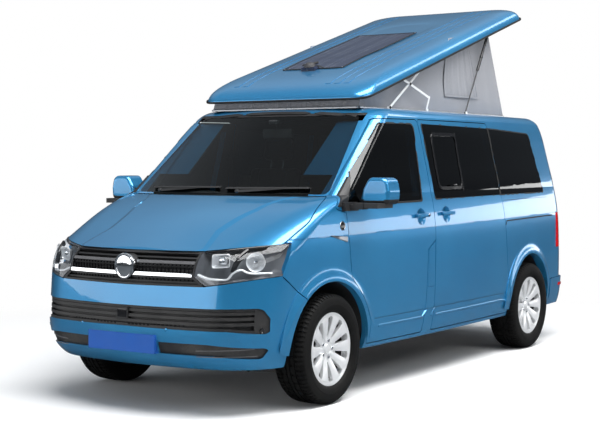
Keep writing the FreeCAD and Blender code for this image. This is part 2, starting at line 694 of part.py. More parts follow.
def make_tail():
    """Tailgate with its glass, tail lamps, rear bumper and number plates."""
    outline = front_outline(TAILGATE)
    gate = skin(prism(outline, R + 500, TAIL + 50), 0, STEP)
    gate = gate.fuse(skin(prism(grown(outline, -size("step_in")), R + 500, TAIL + 50),
                          STEP, WALL))
    pane_outline = front_outline(REAR_WINDOW)
    sunk = prism(pane_outline, R + 500, TAIL + 50)
    gate = gate.cut(skin(sunk, 0, size("glass") + size("seat_gap")))
    gate = gate.cut(prism(grown(pane_outline, -34), R + 400, TAIL + 50))
    plate_dish = block(-275, 275, TAIL - 160, TAIL + 40, 905, 1040)
    gate = gate.cut(skin(plate_dish, 0, 12))
    y, z = GATE_HINGE
    for side in (1, -1):
        gate = gate.cut(rod((side * 300 - 30, y, z), (side * 300 + 30, y, z), 11))
        web = block(side * 300 - 17, side * 300 + 17, y - 34, y, z - 14, z - 4)
        gate = gate.multiFuse([web, rod((side * 300 - 17, y, z), (side * 300 + 17, y, z), 7)])
        gate = gate.cut(rod((side * 300 - 20, y, z), (side * 300 + 20, y, z), HINGE_PIN + 0.3))
    node("tailgate", solids_of(gate))
    pane = skin(prism(grown(pane_outline, -size("seat_gap")), R + 500, TAIL + 50),
                0, size("glass"))
    node("tailgate_glass", solids_of(pane))

    seat = size("seat_gap")
    x0, y0, z0, z1 = TAIL_LAMP
    lamp = skin(block(x0 + seat, WIDE, y0 + seat, TAIL + 50, z0 + seat, z1 - seat), 0, 70)
    node("tail_lamps", both(solids_of(lamp)))

    stand_off = V(0, size("bumper_stand_off"), 0)
    region = prism(side_outline(REAR_BUMPER_FRONT), -WIDE, WIDE)
    region.translate(-stand_off)
    bumper = skin(region, 0, WALL).multiFuse([region.common(FLARE_REAR),
                                            region.common(mirrored(FLARE_REAR))])
    bumper.translate(stand_off)
    for side in (1, -1):
        hole = rod((side * 520, R, HUB + 5), (side * WIDE, R, HUB + 5),
                   size("arch_radius"))
        bumper = bumper.cut(hole)
    node("rear_bumper", solids_of(bumper, 20000))


def make_roof_frame():
    """The fixed roof: a thick plate round the hole that the pop roof covers."""
    top = size("roof_top")
    plate = hull(0).common(block(-WIDE, WIDE, NOSE, TAIL + 50, ROOF_SEAM, top))
    hollow = hull(WALL).common(block(-WIDE, WIDE, NOSE, TAIL + 50, 1700, top - 25))
    plate = plate.cut(hollow)
    header = skin(block(-700, 700, R + 500, TAIL, 1807, ROOF_SEAM), 0, WALL)
    half = size("aperture_half_width")
    hole = plan_outline(((half, F + 930, 60), (half, R + 60, 60),
                         (-half, R + 60, 60), (-half, F + 930, 60)))
    hole = prism(hole, ROOF_SEAM - 100, top + 50)
    frame = plate.fuse(header).cut(hole)
    y, z = GATE_HINGE
    for side in (1, -1):
        for x in (side * 300 - 21, side * 300 + 21):
            ear = block(x - 3, x + 3, y - 34, y, z, z + 12)
            frame = frame.multiFuse([ear, rod((x - 3, y, z), (x + 3, y, z), 6)])
        frame = frame.fuse(rod((side * 300 - 21, y, z), (side * 300 + 21, y, z), HINGE_PIN))
    node("roof_frame", solids_of(frame, 20000))


def make_screen():
    region = prism(front_outline(WINDSCREEN), NOSE, F + 900)
    node("windscreen", solids_of(skin(region, 0, size("glass"))))


def make_plates():
    """Blank number plates, front and rear."""
    front = block(-260, 260, NOSE, BODY_NOSE + 40, 374, 485)
    front = front.cut(hull(-size("seat_gap"), 300, 500))
    rear = skin(block(-260, 260, TAIL - 120, TAIL + 40, 918, 1029), 9, 11.6)
    node("number_plates", Part.makeCompound([solids_of(front), solids_of(rear)]))


# ------------------------------------------------------------------ underneath
RAIL_X = 432                     # middle of a frame rail
RAIL_LOW = 400                   # its underside
TOW_BOLTS = (TAIL - 280, TAIL - 220)  # places of the towbar's bolts along a rail


def deflectors():
    """Two rubber air dams under the bumper, ahead of the front wheels."""
    region = block(560, 860, BODY_NOSE, F - 402, 262, 300)
    dam = skin(region, 34 + size("seat_gap"), 60)
    return [solids_of(dam), mirrored(solids_of(dam))]


def make_floor():
    """Cabin floor, front bulkhead, wheel liners and sill boxes."""
    sheet = size("sheet_metal")
    reach = hull(WALL + 1, 280, 1290)
    floor = block(-WIDE, WIDE, F - 30, TAIL, FLOOR - 20, FLOOR).common(reach)
    wall = block(-WIDE, WIDE, F - 30, F - 10, FLOOR - 20, 1230).common(hull(62, 280, 1290))
    floor = floor.fuse(wall)
    inner_x = 470
    pieces = []
    liners = []
    for axle, inside, outside, behind in ((F, inner_x, 930, 34), (R, 640, 940, WALL)):
        for side in (1, -1):
            start = (side * inside, axle, HUB + 5)
            end = (side * outside, axle, HUB + 5)
            outer = rod(start, end, size("arch_radius") + 4 + sheet)
            deeper = (side * (inside + sheet), axle, HUB + 5)
            past = (side * WIDE, axle, HUB + 5)
            hollow = rod(deeper, past, size("arch_radius") + 4)
            room = rod(start, end, size("arch_radius") + 4 + sheet + size("seat_gap"))
            floor = floor.cut(room)
            liner = outer.cut(hollow).cut(block(-WIDE, WIDE, axle - 500, axle + 500,
                                                -200, HUB + 56))
            liners.append(liner.common(hull(behind + size("seat_gap"), 280, 900)))
    sills = block(-WIDE, WIDE, F + 450, R - 452, SILL_LOW + 14, FLOOR - 20)
    sills = sills.cut(block(-700, 700, F, R, 0, FLOOR)).common(hull(WALL + 6, 280, 600))
    pieces.append(sills)
    bolts = []
    for side in (1, -1):
        pieces.append(block(side * RAIL_X - 35, side * RAIL_X + 35, F + 200, TAIL - 160,
                            RAIL_LOW, FLOOR - 20))
        crash_box = block(side * RAIL_X - 25, side * RAIL_X + 25, TAIL - 162, TAIL, 412, 468)
        pieces.append(crash_box.common(hull(WALL + size("seat_gap"), 280, 600)))
        for y in TOW_BOLTS:
            bolts.append(rod((side * RAIL_X, y, 0), (side * RAIL_X, y, FLOOR + 10),
                             size("tow_bolt_radius")))
        for y in (F + 650, R - 620):
            pieces.append(block(side * 775 - 30, side * 775 + 30, y - 35, y + 35,
                                SILL_LOW - 14, SILL_LOW + 15))
    node("floor_pan", solids_of(floor.multiFuse(pieces).cut(Part.makeCompound(bolts)), 20000))
    node("wheel_liners", Part.makeCompound(liners + deflectors()))


def make_underbody():
    """Engine, front carrier and arms, rear axle, exhaust, tank, spare wheel."""
    engine = block(-360, 340, F - 330, F - 36, 300.4, 900)
    engine = engine.makeFillet(40, [e for e in engine.Edges])
    node("engine_block", engine)

    steer_x = size("half_track") - 79
    carrier = block(-400, 400, F - 170, F + 230, 216, 262)
    carrier = carrier.makeFillet(18, carrier.Edges)
    mounts = []
    for side in (1, -1):
        arm = Part.Face(plan_outline((
            (side * 380, F - 110, 0), (side * 660, F - 26, 0), (side * steer_x, F - 26, 0),
            (side * steer_x, F + 26, 0), (side * 640, F + 30, 0), (side * 380, F + 200, 0),
        ))).extrude(V(0, 0, 18))
        arm.translate(V(0, 0, 176))
        joint = rod((side * steer_x, F, 170), (side * steer_x, F, 198), 26)
        joint = joint.fuse(rod((side * steer_x, F, 196), (side * steer_x, F, 202.5), 9))
        bush = rod((side * 385, F - 150, 200), (side * 385, F + 215, 200), 22)
        shaft = rod((side * 100, F, HUB), (side * 660, F, HUB), 15)
        boot = rod((side * 585, F, HUB), (side * 645, F, HUB), 38)
        arch_top = HUB + 5 + size("arch_radius") + 4
        damper = rod((side * 640, F, 520), (side * 640, F, arch_top - 1.2), 24)
        coil = rod((side * 640, F, 700), (side * 640, F, arch_top - 8), 60)
        rear_leg = block(side * 410 - 40, side * 410 + 30, F + 150, F + 280, 230,
                         RAIL_LOW - 0.4)
        front_leg = block(side * 320 - 20, side * 320 + 20, F - 165, F - 120, 230, 300)
        mounts += [arm.multiFuse([joint, bush]), shaft.fuse(boot), rear_leg, front_leg,
                   damper.fuse(coil)]
    final_drive = block(-150, 170, F - 35.6, F + 75, 285, 420)
    final_drive = final_drive.makeFillet(22, [e for e in final_drive.Edges
                                              if e.BoundBox.YMax > F])
    node("front_suspension", carrier.multiFuse(mounts + [final_drive]))

    beam = rod((-470, R - 330, 300), (470, R - 330, 300), 42)
    members = []
    for side in (1, -1):
        members.append(rod((side * 430, R - 330, 300), (side * 600, R - 60, HUB), 38))
        members.append(rod((side * 590, R, HUB), (side * 727, R, HUB), 52))
        members.append(rod((side * 560, R - 70, HUB), (side * 640, R, HUB), 36))
        members.append(rod((side * 540, R - 110, 320), (side * 540, R - 110, FLOOR - 20.4),
                           58))
        members.append(block(side * RAIL_X - 30, side * RAIL_X + 30, R - 380, R - 280,
                             310, RAIL_LOW - 0.4))
    node("rear_axle", beam.multiFuse(members))

    route = ((-170, F + 100, 300), (-170, F + 300, 300), (-170, F + 620, 226),
             (-170, R - 520, 226), (-260, R - 200, 222), (-350, R + 150, 240))
    lengths = [rod(start, end, 26) for start, end in zip(route, route[1:])]
    bends = [Part.makeSphere(26, V(*place)) for place in route[1:-1]]
    silencer = block(-640, -270, R + 120, R + 560, 180, 350)
    silencer = silencer.makeFillet(50, [e for e in silencer.Edges
                                        if e.BoundBox.YLength > 200])
    tail_pipe = rod((-560, R + 540, 250), (-600, TAIL - 110, 236), 27)
    hangers = [rod((-520, R + 300, 340), (-520, R + 300, FLOOR - 20.4), 8),
               rod((-170, F + 900, 240), (-170, F + 900, FLOOR - 20.4), 8)]
    node("exhaust", lengths[0].multiFuse(lengths[1:] + bends + [silencer, tail_pipe]
                                         + hangers))

    tank = block(-60, RAIL_X - 45, F + 760, F + 1660, 240, FLOOR - 20.4)
    tank = tank.makeFillet(45, [e for e in tank.Edges if e.BoundBox.ZMax < 300
                                or e.BoundBox.ZLength > 100])
    node("fuel_tank", tank)
    spare = rod((60, R + 540, 250), (60, R + 540, FLOOR - 20.4), 320)
    spare = spare.makeFillet(50, [e for e in spare.Edges if e.BoundBox.ZMax < 300])
    node("spare_wheel", spare)


# ----------------------------------------------------------------------- wheels
def plane_of(body, role):
    for feature in body.Origin.OriginFeatures:
        if feature.Role == role:
            return feature
    raise ValueError(role)


def sketch_on(body, role, name):
    sketch = body.newObject("Sketcher::SketchObject", name)
    sketch.AttachmentSupport = [(plane_of(body, role), "")]
    sketch.MapMode = "FlatFace"
    return sketch


def draw(sketch, points):
    """Closed outline of straight runs and arcs: rows (a, b, arc middle or None)."""
    count = len(points)
    for index, (a, b, middle) in enumerate(points):
        end = points[(index + 1) % count]
        if middle is None:
            sketch.addGeometry(Part.LineSegment(V(a, b, 0), V(end[0], end[1], 0)))
        else:
            arc = Part.Arc(V(a, b, 0), V(middle[0], middle[1], 0), V(end[0], end[1], 0))
            sketch.addGeometry(arc)


def make_body(name):
    body = DOC.addObject("PartDesign::Body", name)
    body.Label = name
    NODES.append(body)
    return body


def revolve(body, sketch, name):
    turned = body.newObject("PartDesign::Revolution", name)
    turned.Profile = sketch
    turned.ReferenceAxis = (sketch, ["H_Axis"])
    turned.Angle = 360
    return turned


def make_tyre(name, placement):
    """A tyre about the X axis of its own body; the tread's grooves are shallow."""
    radius = size("tyre_radius")
    half = size("tyre_width") / 2
    bead = size("rim_radius") - 8 + size("seat_gap")
    lip = size("rim_radius") + 1
    body = make_body(name)
    sketch = sketch_on(body, "XY_Plane", name + "_section")
    draw(sketch, (
        (-half + 29, bead, None), (-half + 29, lip + 1, None),
        (-half + 12, lip + 6, (-half, radius - 62)), (-half + 15, radius - 9, None),
        (-half + 34, radius - 1.5, (0, radius)), (half - 34, radius - 1.5, None),
        (half - 15, radius - 9, (half, radius - 62)), (half - 12, lip + 6, None),
        (half - 29, lip + 1, None), (half - 29, bead, None),
    ))
    revolve(body, sketch, name + "_turned")
    body.Placement = placement


def make_rim(name, placement):
    """Alloy wheel: barrel, dished face with gaps between its spokes, brake disc."""
    lip = size("rim_radius")
    wall = size("rim_wall")
    half = size("tyre_width") / 2 - 29
    hub = size("hub_radius")
    disc = size("disc_radius")
    body = make_body(name)
    sketch = sketch_on(body, "XY_Plane", name + "_section")
    draw(sketch, (
        (-half - 8, lip, None), (-half, lip, None), (-half, lip - 8, None),
        (-half + 34, lip - 8, None), (-half + 46, lip - 24, None),
        (half - 40, lip - 24, None), (half - 28, lip - 8, None),
        (half, lip - 8, None), (half, lip, None), (half + 8, lip, None),
        (half + 8, lip - 10, (half - 2, 150)), (half - 22, hub, None),
        (half - 22, 33, None), (half - 18, 30, None), (half - 18, 0, None),
        (-86.5, 0, None), (-86.5, 30, None), (-46, 30, None), (-46, disc, None),
        (-22, disc, None), (-22, hub + 8, None), (half - 46, hub, (half - 26, 150)),
        (half - 14, lip - 8 - wall - 4, None), (half - 34, lip - 24 - wall, None),
        (-half + 44, lip - 24 - wall, None), (-half + 32, lip - 8 - wall, None),
        (-half - 8, lip - 8 - wall, None),
    ))
    revolve(body, sketch, name + "_turned")
    DOC.recompute()
    slot = sketch_on(body, "YZ_Plane", name + "_gap")
    slot.AttachmentOffset = FreeCAD.Placement(V(0, 0, half - 34), FreeCAD.Rotation())
    count = int(size("spoke_count"))
    outer = lip - 24
    inner = hub + 14
    pitch_out = 2 * math.pi * outer / count
    gap_out = (pitch_out - size("spoke_width") * 1.42) / 2
    gap_in = 5
    draw(slot, ((-gap_in, inner, (0, inner - 5)), (gap_in, inner, None),
                (gap_out, outer - 10, (0, outer + 2)), (-gap_out, outer - 10, None)))
    DOC.recompute()
    pocket = body.newObject("PartDesign::Pocket", name + "_gap_cut")
    pocket.Profile = slot
    pocket.Type = "Length"
    pocket.Length = 60
    pocket.Reversed = True
    pattern = body.newObject("PartDesign::PolarPattern", name + "_gaps")
    pattern.Originals = [pocket]
    pattern.Axis = (plane_of(body, "X_Axis"), [""])
    pattern.Angle = 360
    pattern.Occurrences = count
    pattern.setExpression("Occurrences", "Sizes.spoke_count")
    body.Tip = pattern
    body.Placement = placement


def make_wheels():
    track = size("half_track")
    for axle_name, axle in (("front", F), ("rear", R)):
        for side_name, side in (("left", 1), ("right", -1)):
            turn = FreeCAD.Rotation(V(0, 0, 1), 0 if side > 0 else 180)
            place = FreeCAD.Placement(V(side * track, axle, HUB), turn)
            make_tyre("tyre_%s_%s" % (axle_name, side_name), place)
            make_rim("rim_%s_%s" % (axle_name, side_name), place)


def make_knuckles():
    """Front uprights, turning about a vertical axis through the lower arm's end."""
    steer_x = size("half_track") - 79
    carrier = rod((steer_x - 34, F, HUB), (steer_x - 8, F, HUB), 56)
    stem = block(steer_x - 30, steer_x - 8, F - 30, F + 30, 204, 530)
    stem = stem.makeFillet(8, [e for e in stem.Edges if e.BoundBox.ZLength > 100])
    boss = rod((steer_x, F, 203), (steer_x, F, 232), 22)
    arm = rod((steer_x - 20, F + 20, 300), (steer_x - 85, F + 150, 300), 12)
    eye = rod((steer_x - 85, F + 150, 285), (steer_x - 85, F + 150, 315), 17)
    calliper = block(steer_x - 30, steer_x + 66, F + 92, F + 172, 290, 420)
    disc_room = rod((steer_x + 30, F, HUB), (steer_x + 62, F, HUB),
                    size("disc_radius") + 6)
    bridge = block(steer_x - 30, steer_x - 10, F + 20, F + 100, 320, 380)
    calliper = calliper.cut(disc_room)
    upright = carrier.multiFuse([stem, boss, arm, eye, bridge, calliper])
    node("knuckle_left", solids_of(upright))
    node("knuckle_right", mirrored(solids_of(upright)))


# ------------------------------------------------------------ cab and living area
WHEEL_PLACE = (F + 600, 1140)    # middle of the steering wheel, in side view
WHEEL_LEAN = 50                  # degrees, its axis back from upright
WHEEL_HUB_BACK = 34              # its hub behind that middle


DOOR_HINGE = (915, F + 144)       # the front doors' axis, in plan
DOOR_SWEEP = 108                 # room that a door's inner corner turns in


def make_interior():
    """Dashboard, seats, bench and kitchen unit, as seen through the glass."""
    inside = hull(WALL + 6, 280, 1290)
    outline = side_outline((
        (F + 50, 1215, 0), (F + 124, 1262, 10), (F + 400, 1252, 50), (F + 505, 1170, 40),
        (F + 480, 960, 40), (F + 300, 890, 30), (F + 50, 900, 0),
    ))
    dash = prism(outline, -WIDE, WIDE).common(inside)
    for side in (1, -1):
        x = side * DOOR_HINGE[0]
        dash = dash.cut(rod((x, DOOR_HINGE[1], 1150), (x, DOOR_HINGE[1], 1300), DOOR_SWEEP))
    lean = math.radians(WHEEL_LEAN)
    hub_low = -WHEEL_HUB_BACK - size("seat_gap")
    y, z = WHEEL_PLACE
    column = rod((-400, y + (hub_low - 160) * math.sin(lean), z + (hub_low - 160) * math.cos(lean)),
                 (-400, y + hub_low * math.sin(lean), z + hub_low * math.cos(lean)), 34)
    node("dashboard", dash.fuse(column))

    seats = []
    bases = []
    for side in (1, -1):
        x = side * 430
        half = size("seat_width") / 2
        top = size("seat_height")
        y0, y1 = F + 790, F + 1280
        cushion = block(x - half, x + half, y0, y1, top - 130, top)
        cushion = cushion.makeFillet(38, cushion.Edges)
        back = block(x - half + 15, x + half - 15, y1 - 110, y1, top - 60, top + 640)
        back = back.makeFillet(38, back.Edges)
        back.rotate(V(x, y1 - 60, top - 60), V(1, 0, 0), -13)
        rest = block(x - 130, x + 130, y1 + 62, y1 + 152, top + 655, top + 830)
        rest = rest.makeFillet(32, rest.Edges)
        posts = [rod((x + p, y1 + 90, top + 560), (x + p, y1 + 108, top + 700), 8)
                 for p in (-60, 60)]
        seats.append(cushion.multiFuse([back, rest] + posts))
        base = block(x - half + 40, x + half - 40, y0 + 60, y1 - 40, FLOOR + 0.4, top - 130.4)
        bases.append(base.makeFillet(20, [e for e in base.Edges if e.BoundBox.ZLength > 50]))
    node("front_seats", Part.makeCompound(seats))

    bench_x0, bench_x1 = -450, 640
    y0, y1 = R - 520, R + 60
    base = block(bench_x0 + 20, bench_x1 - 20, y0 + 30, y1 - 20, FLOOR + 0.4, 739.6)
    base = base.cut(rod((560, R, HUB + 5), (WIDE, R, HUB + 5), size("arch_radius") + 16))
    seat = block(bench_x0, bench_x1, y0, y1 - 20, 740, 900)
    seat = seat.makeFillet(40, seat.Edges)
    back = block(bench_x0, bench_x1, y1 - 110, y1 + 30, 830, 1480)
    back = back.makeFillet(40, back.Edges)
    node("seat_bases", Part.makeCompound(bases + base.Solids))
    node("rear_bench", seat.fuse(back))

    unit = block(-WIDE, -480, F + 1420, R + 60, FLOOR + 0.4, 1395).common(
        hull(WALL + 4, 280, 1500))
    for axle in (F, R):
        unit = unit.cut(rod((-560, axle, HUB + 5), (-WIDE, axle, HUB + 5),
                            size("arch_radius") + 16))
    fronts = []
    for index in range(4):
        y = F + 1440 + index * 395
        fronts.append(block(-480, -464, y, y + 380, 560, 1360))
    node("kitchen_unit", solids_of(unit.multiFuse(fronts)))


def make_steering_wheel():
    """Steering wheel about the Z axis of its own body: rim, hub and spokes."""
    radius = size("steering_wheel_radius")
    body = make_body("steering_wheel")
    section = sketch_on(body, "XZ_Plane", "wheel_section")
    section.addGeometry(Part.Circle(V(radius - 15, 0, 0), V(0, 0, 1), 15))
    rim = body.newObject("PartDesign::Revolution", "wheel_rim")
    rim.Profile = section
    rim.ReferenceAxis = (section, ["V_Axis"])
    rim.Angle = 360
    DOC.recompute()
    for name, outline, low, tall in (
        ("hub", ((-62, -70), (62, -70), (78, 10), (60, 62), (-60, 62), (-78, 10)),
         -WHEEL_HUB_BACK, 42),
        ("spokes", ((-radius + 16, -8), (-radius + 16, 24), (radius - 16, 24),
                    (radius - 16, -8)), -20, 16),
        ("low_spoke", ((-30, -radius + 16), (30, -radius + 16), (36, 0), (-36, 0)), -20, 16),
    ):
        sketch = sketch_on(body, "XY_Plane", "wheel_" + name)
        draw(sketch, [(a, b, None) for a, b in outline])
        sketch.AttachmentOffset = FreeCAD.Placement(V(0, 0, low), FreeCAD.Rotation())
        DOC.recompute()
        pad = body.newObject("PartDesign::Pad", "wheel_pad_" + name)
        pad.Profile = sketch
        pad.Length = tall
        body.Tip = pad
        DOC.recompute()
    tilt = FreeCAD.Rotation(V(1, 0, 0), -WHEEL_LEAN)
    body.Placement = FreeCAD.Placement(V(-400, *WHEEL_PLACE), tilt)


MIRROR = (                       # front view of a mirror housing
    (931, 1234, 34), (1144, 1236, 34), (1150, 1320, 70), (1132, 1406, 52),
    (1000, 1406, 46), (958, 1335, 70),
)


def make_mirrors():
    """Door mirrors: a base on the door's front corner, an arm and a housing."""
    corner = side_outline(((F + 100, 1222, 4), (F + 192, 1228, 4), (F + 355, 1432, 4)))
    base = skin(prism(corner, 600, WIDE), -9, -0.4)
    clear = hull(-size("seat_gap"), 1150, 1500)
    arm = block(880, 1020, F + 200, F + 262, 1206, 1236)
    arm = arm.fuse(block(940, 1120, F + 206, F + 400, 1213, 1246)).cut(clear)
    foot = skin(block(600, WIDE, F + 150, F + 300, 1196, 1250), -26, -size("seat_gap"))
    back = F + 436
    form = prism(front_outline(MIRROR), F + 292, back)
    form = form.makeFillet(26, [e for e in form.Edges if e.BoundBox.YMax < F + 300])
    glass_bed = prism(grown(front_outline(MIRROR), -14), back - 8, back + 10)
    mirror = base.multiFuse([foot, arm, form.cut(glass_bed).cut(clear)])
    node("mirror_left", solids_of(mirror))
    node("mirror_right", mirrored(solids_of(mirror)))


def make_screen_trim():
    """Strip over the windscreen, tray under its foot, and two parked wipers."""
    strip = skin(block(-696, 696, F - 60, F + 900, 1819, ROOF_SEAM - 0.4), 2, 40)
    tray = skin(block(-690, 690, F - 200, F + 300, 1180, PILLAR_FOOT),
                size("bonnet_wall") + size("seat_gap"), 60)
    trims = [solids_of(strip), solids_of(tray)]
    for start, end, pivot in ((-640, -40, -560), (20, 640, 120)):
        blade = front_outline(((start, 1327, 0), (end, 1333, 0), (end, 1344, 0),
                               (start, 1338, 0)))
        blade = skin(prism(blade, F - 60, F + 300), -14, -1)
        arm = front_outline(((pivot, 1304, 0), (pivot + 420, 1334, 0),
                             (pivot + 420, 1342, 0), (pivot, 1322, 0)))
        arm = skin(prism(arm, F - 60, F + 300), -12, -0.4)
        trims.append(solids_of(blade.fuse(arm), 100))
    node("screen_trim", Part.makeCompound(trims))


# --------------------------------------------------------------------- pop roof
RIM = size("roof_rim")
PIVOT_Y = F + 631                # tilt axis, closed roof and raised roof alike
PIVOT_Z = RIM - size("roof_pivot_below")
ROOF_FRONT = PIVOT_Y + size("roof_pivot_ahead")
ROOF_BACK = ROOF_FRONT + size("roof_length")
ROOF_HALF = size("roof_half_width")
TILT = size("roof_tilt")
# height over the rim; side in; front back; rear in; corner radius
ROOF_LEVELS = (
    (0, 0, 0, 0, 120),
    (34, 8, 18, 5, 124),
    (64, 24, 80, 20, 135),
    (88, 60, 200, 52, 155),
    (103, 130, 380, 130, 180),
    (110, 260, 620, 320, 210),
    (112, 460, 900, 620, 220),
)


def raised(shape):
    """A shape drawn on the closed, level roof, moved with it to the raised pose."""
    shape = shape.copy()
    shape.rotate(V(0, PIVOT_Y, PIVOT_Z), V(1, 0, 0), TILT)
    return shape


def raised_point(y, z):
    """Side-view place on the level roof, in the raised pose."""
    angle = math.radians(TILT)
    dy, dz = y - PIVOT_Y, z - PIVOT_Z
    return (PIVOT_Y + dy * math.cos(angle) - dz * math.sin(angle),
            PIVOT_Z + dy * math.sin(angle) + dz * math.cos(angle))


def roof_form(inset, drop):
    """The roof moulding's outer form, inset and dropped for its inside."""
    scale = size("roof_depth") / ROOF_LEVELS[-1][0]
    wires = []
    for height, side_in, front_in, rear_in, corner in ROOF_LEVELS:
        x = ROOF_HALF - side_in - inset
        y0 = ROOF_FRONT + front_in + inset
        y1 = ROOF_BACK - rear_in - inset
        turn = corner - inset / 2
        wire = plan_outline(((-x, y0, turn), (x, y0, turn), (x, y1, turn),
                             (-x, y1, turn)))
        wire.translate(V(0, 0, RIM + height * scale - drop))
        wires.append(wire)
    return Part.makeLoft(wires, True, False)


ARM_X = 654.5                    # middle of the long lifting arm
BRACE_X = 664.5                  # middle of the short lifting arm
LINK_X = 674.5                   # middle of the lower link
STRUT_X = 655
ARM_FOOT = (F + 1170, 1885)      # places in side view, (y, z), raised pose
LINK_FOOT = (F + 1672, 1880)
STRUT_FOOT = (F + 2341, 1882)
ARM_HEAD_LEVEL = (PIVOT_Y + 1120, PIVOT_Z + 152)         # on the level roof
STRUT_HEAD_LEVEL = (PIVOT_Y + 2290, PIVOT_Z + 193)
BRACE_SHARE = 325                # along the long arm, to where the two cross
BRACE_ANGLE = -16.5
BRACE_AHEAD = 150
BRACE_BEHIND = 286
HEAD_SLOT = 12.1                 # travel of the roof's pin along the long arm's head
HEAD_PIN = 4                     # that pin's radius
ARM_HEAD = raised_point(*ARM_HEAD_LEVEL)
STRUT_HEAD = raised_point(*STRUT_HEAD_LEVEL)


def flat_arm(x, start, end, thick, width):
    """Flat bar between two places of the side view, round at both ends."""
    dy, dz = end[0] - start[0], end[1] - start[1]
    length = math.hypot(dy, dz)
    bar = Part.makeBox(thick, length, width, V(x - thick / 2, 0, -width / 2))
    for y in (0, length):
        bar = bar.fuse(Part.makeCylinder(width / 2, thick, V(x - thick / 2, y, 0),
                                         V(1, 0, 0)))
    bar.rotate(V(0, 0, 0), V(1, 0, 0), math.degrees(math.atan2(dz, dy)))
    bar.translate(V(0, start[0], start[1]))
    return bar


def pin(x0, x1, place, radius):
    return rod((x0, place[0], place[1]), (x1, place[0], place[1]), radius)


def make_pop_roof():
    """The lifting roof moulding, its lugs, the solar panel and the canvas."""
    shell = size("roof_shell")
    outer = roof_form(0, 0)
    inner = roof_form(shell, shell)
    skirt = block(-ROOF_HALF + 40, ROOF_HALF - 40, ROOF_FRONT + 40, ROOF_BACK - 40,
                  RIM - 30, RIM + 4)
    skirt_edge = plan_outline(((-ROOF_HALF + shell, ROOF_FRONT + shell, 115),
                               (ROOF_HALF - shell, ROOF_FRONT + shell, 115),
                               (ROOF_HALF - shell, ROOF_BACK - shell, 115),
                               (-ROOF_HALF + shell, ROOF_BACK - shell, 115)))
    skirt = prism(skirt_edge, RIM - 30, RIM + 4)
    proud = outer.copy()
    proud.translate(V(0, 0, 2.5))
    ribs = [block(x - 22, x + 22, ROOF_FRONT + 150, ROOF_BACK - 180, RIM + 50, RIM + 150)
            for x in (-470, -395, 315, 390, 465)]
    ribs = [rib.common(proud) for rib in ribs]
    roof = outer.multiFuse(ribs).cut(inner).cut(skirt)
    lugs = []
    for x1, place, reach, radius in ((647, ARM_HEAD_LEVEL, 657, HEAD_PIN),
                                     (645, STRUT_HEAD_LEVEL, 661, 5)):
        y, z = place
        plate = block(641, x1, y - 14, y + 14, z - 8, RIM + 100)
        lugs.append(plate.fuse(rod((641, y, z), (reach, y, z), radius)))
    y_slot = PIVOT_Y + 731
    lugs.append(block(670, 674, y_slot - 42, y_slot + 42, PIVOT_Z + 146, RIM + 80))
    cap = outer.copy()
    cap.translate(V(0, 0, -5))
    lugs = [lug.common(cap) for lug in lugs]
    roof = roof.multiFuse(lugs + [mirrored(lug) for lug in lugs])
    node("pop_roof", raised(solids_of(roof)))

    lifted = outer.copy()
    lifted.translate(V(0, 0, 5))
    seated = outer.copy()
    seated.translate(V(0, 0, size("seat_gap")))
    sheet = block(-300, 220, ROOF_FRONT + 520, ROOF_FRONT + 1680, RIM + 60, RIM + 150)
    sheet = sheet.common(lifted).cut(seated)
    box = block(-105, 15, ROOF_FRONT + 468, ROOF_FRONT + 532, RIM + 80, RIM + 150)
    bump = outer.copy()
    bump.translate(V(0, 0, 26))
    box = box.common(bump).cut(seated)
    node("solar_panel", raised(solids_of(sheet.fuse(box))))

    half = 622
    wall = size("canvas_wall")
    base_z = size("roof_top") + 0.3
    top_front = raised_point(ROOF_FRONT + 60, RIM + 4)
    top_back = raised_point(ROOF_BACK - 560, RIM + 8)
    front_foot, back_foot = F + 800, R + 108

    def tent(grow):
        return Part.makePolygon([
            V(0, front_foot + grow, base_z), V(0, back_foot - grow, base_z),
            V(0, top_back[0] - grow, top_back[1]), V(0, top_front[0] + grow, top_front[1]),
            V(0, front_foot + grow, base_z)])

    cloth = prism(tent(0), -half, half)
    room = prism(tent(wall), -half + wall, half - wall)
    flap_low = room.copy()
    flap_low.translate(V(0, 0, -6))
    flap_high = room.copy()
    flap_high.translate(V(0, 0, 6))
    node("roof_canvas", solids_of(cloth.cut(room).cut(flap_low).cut(flap_high)))


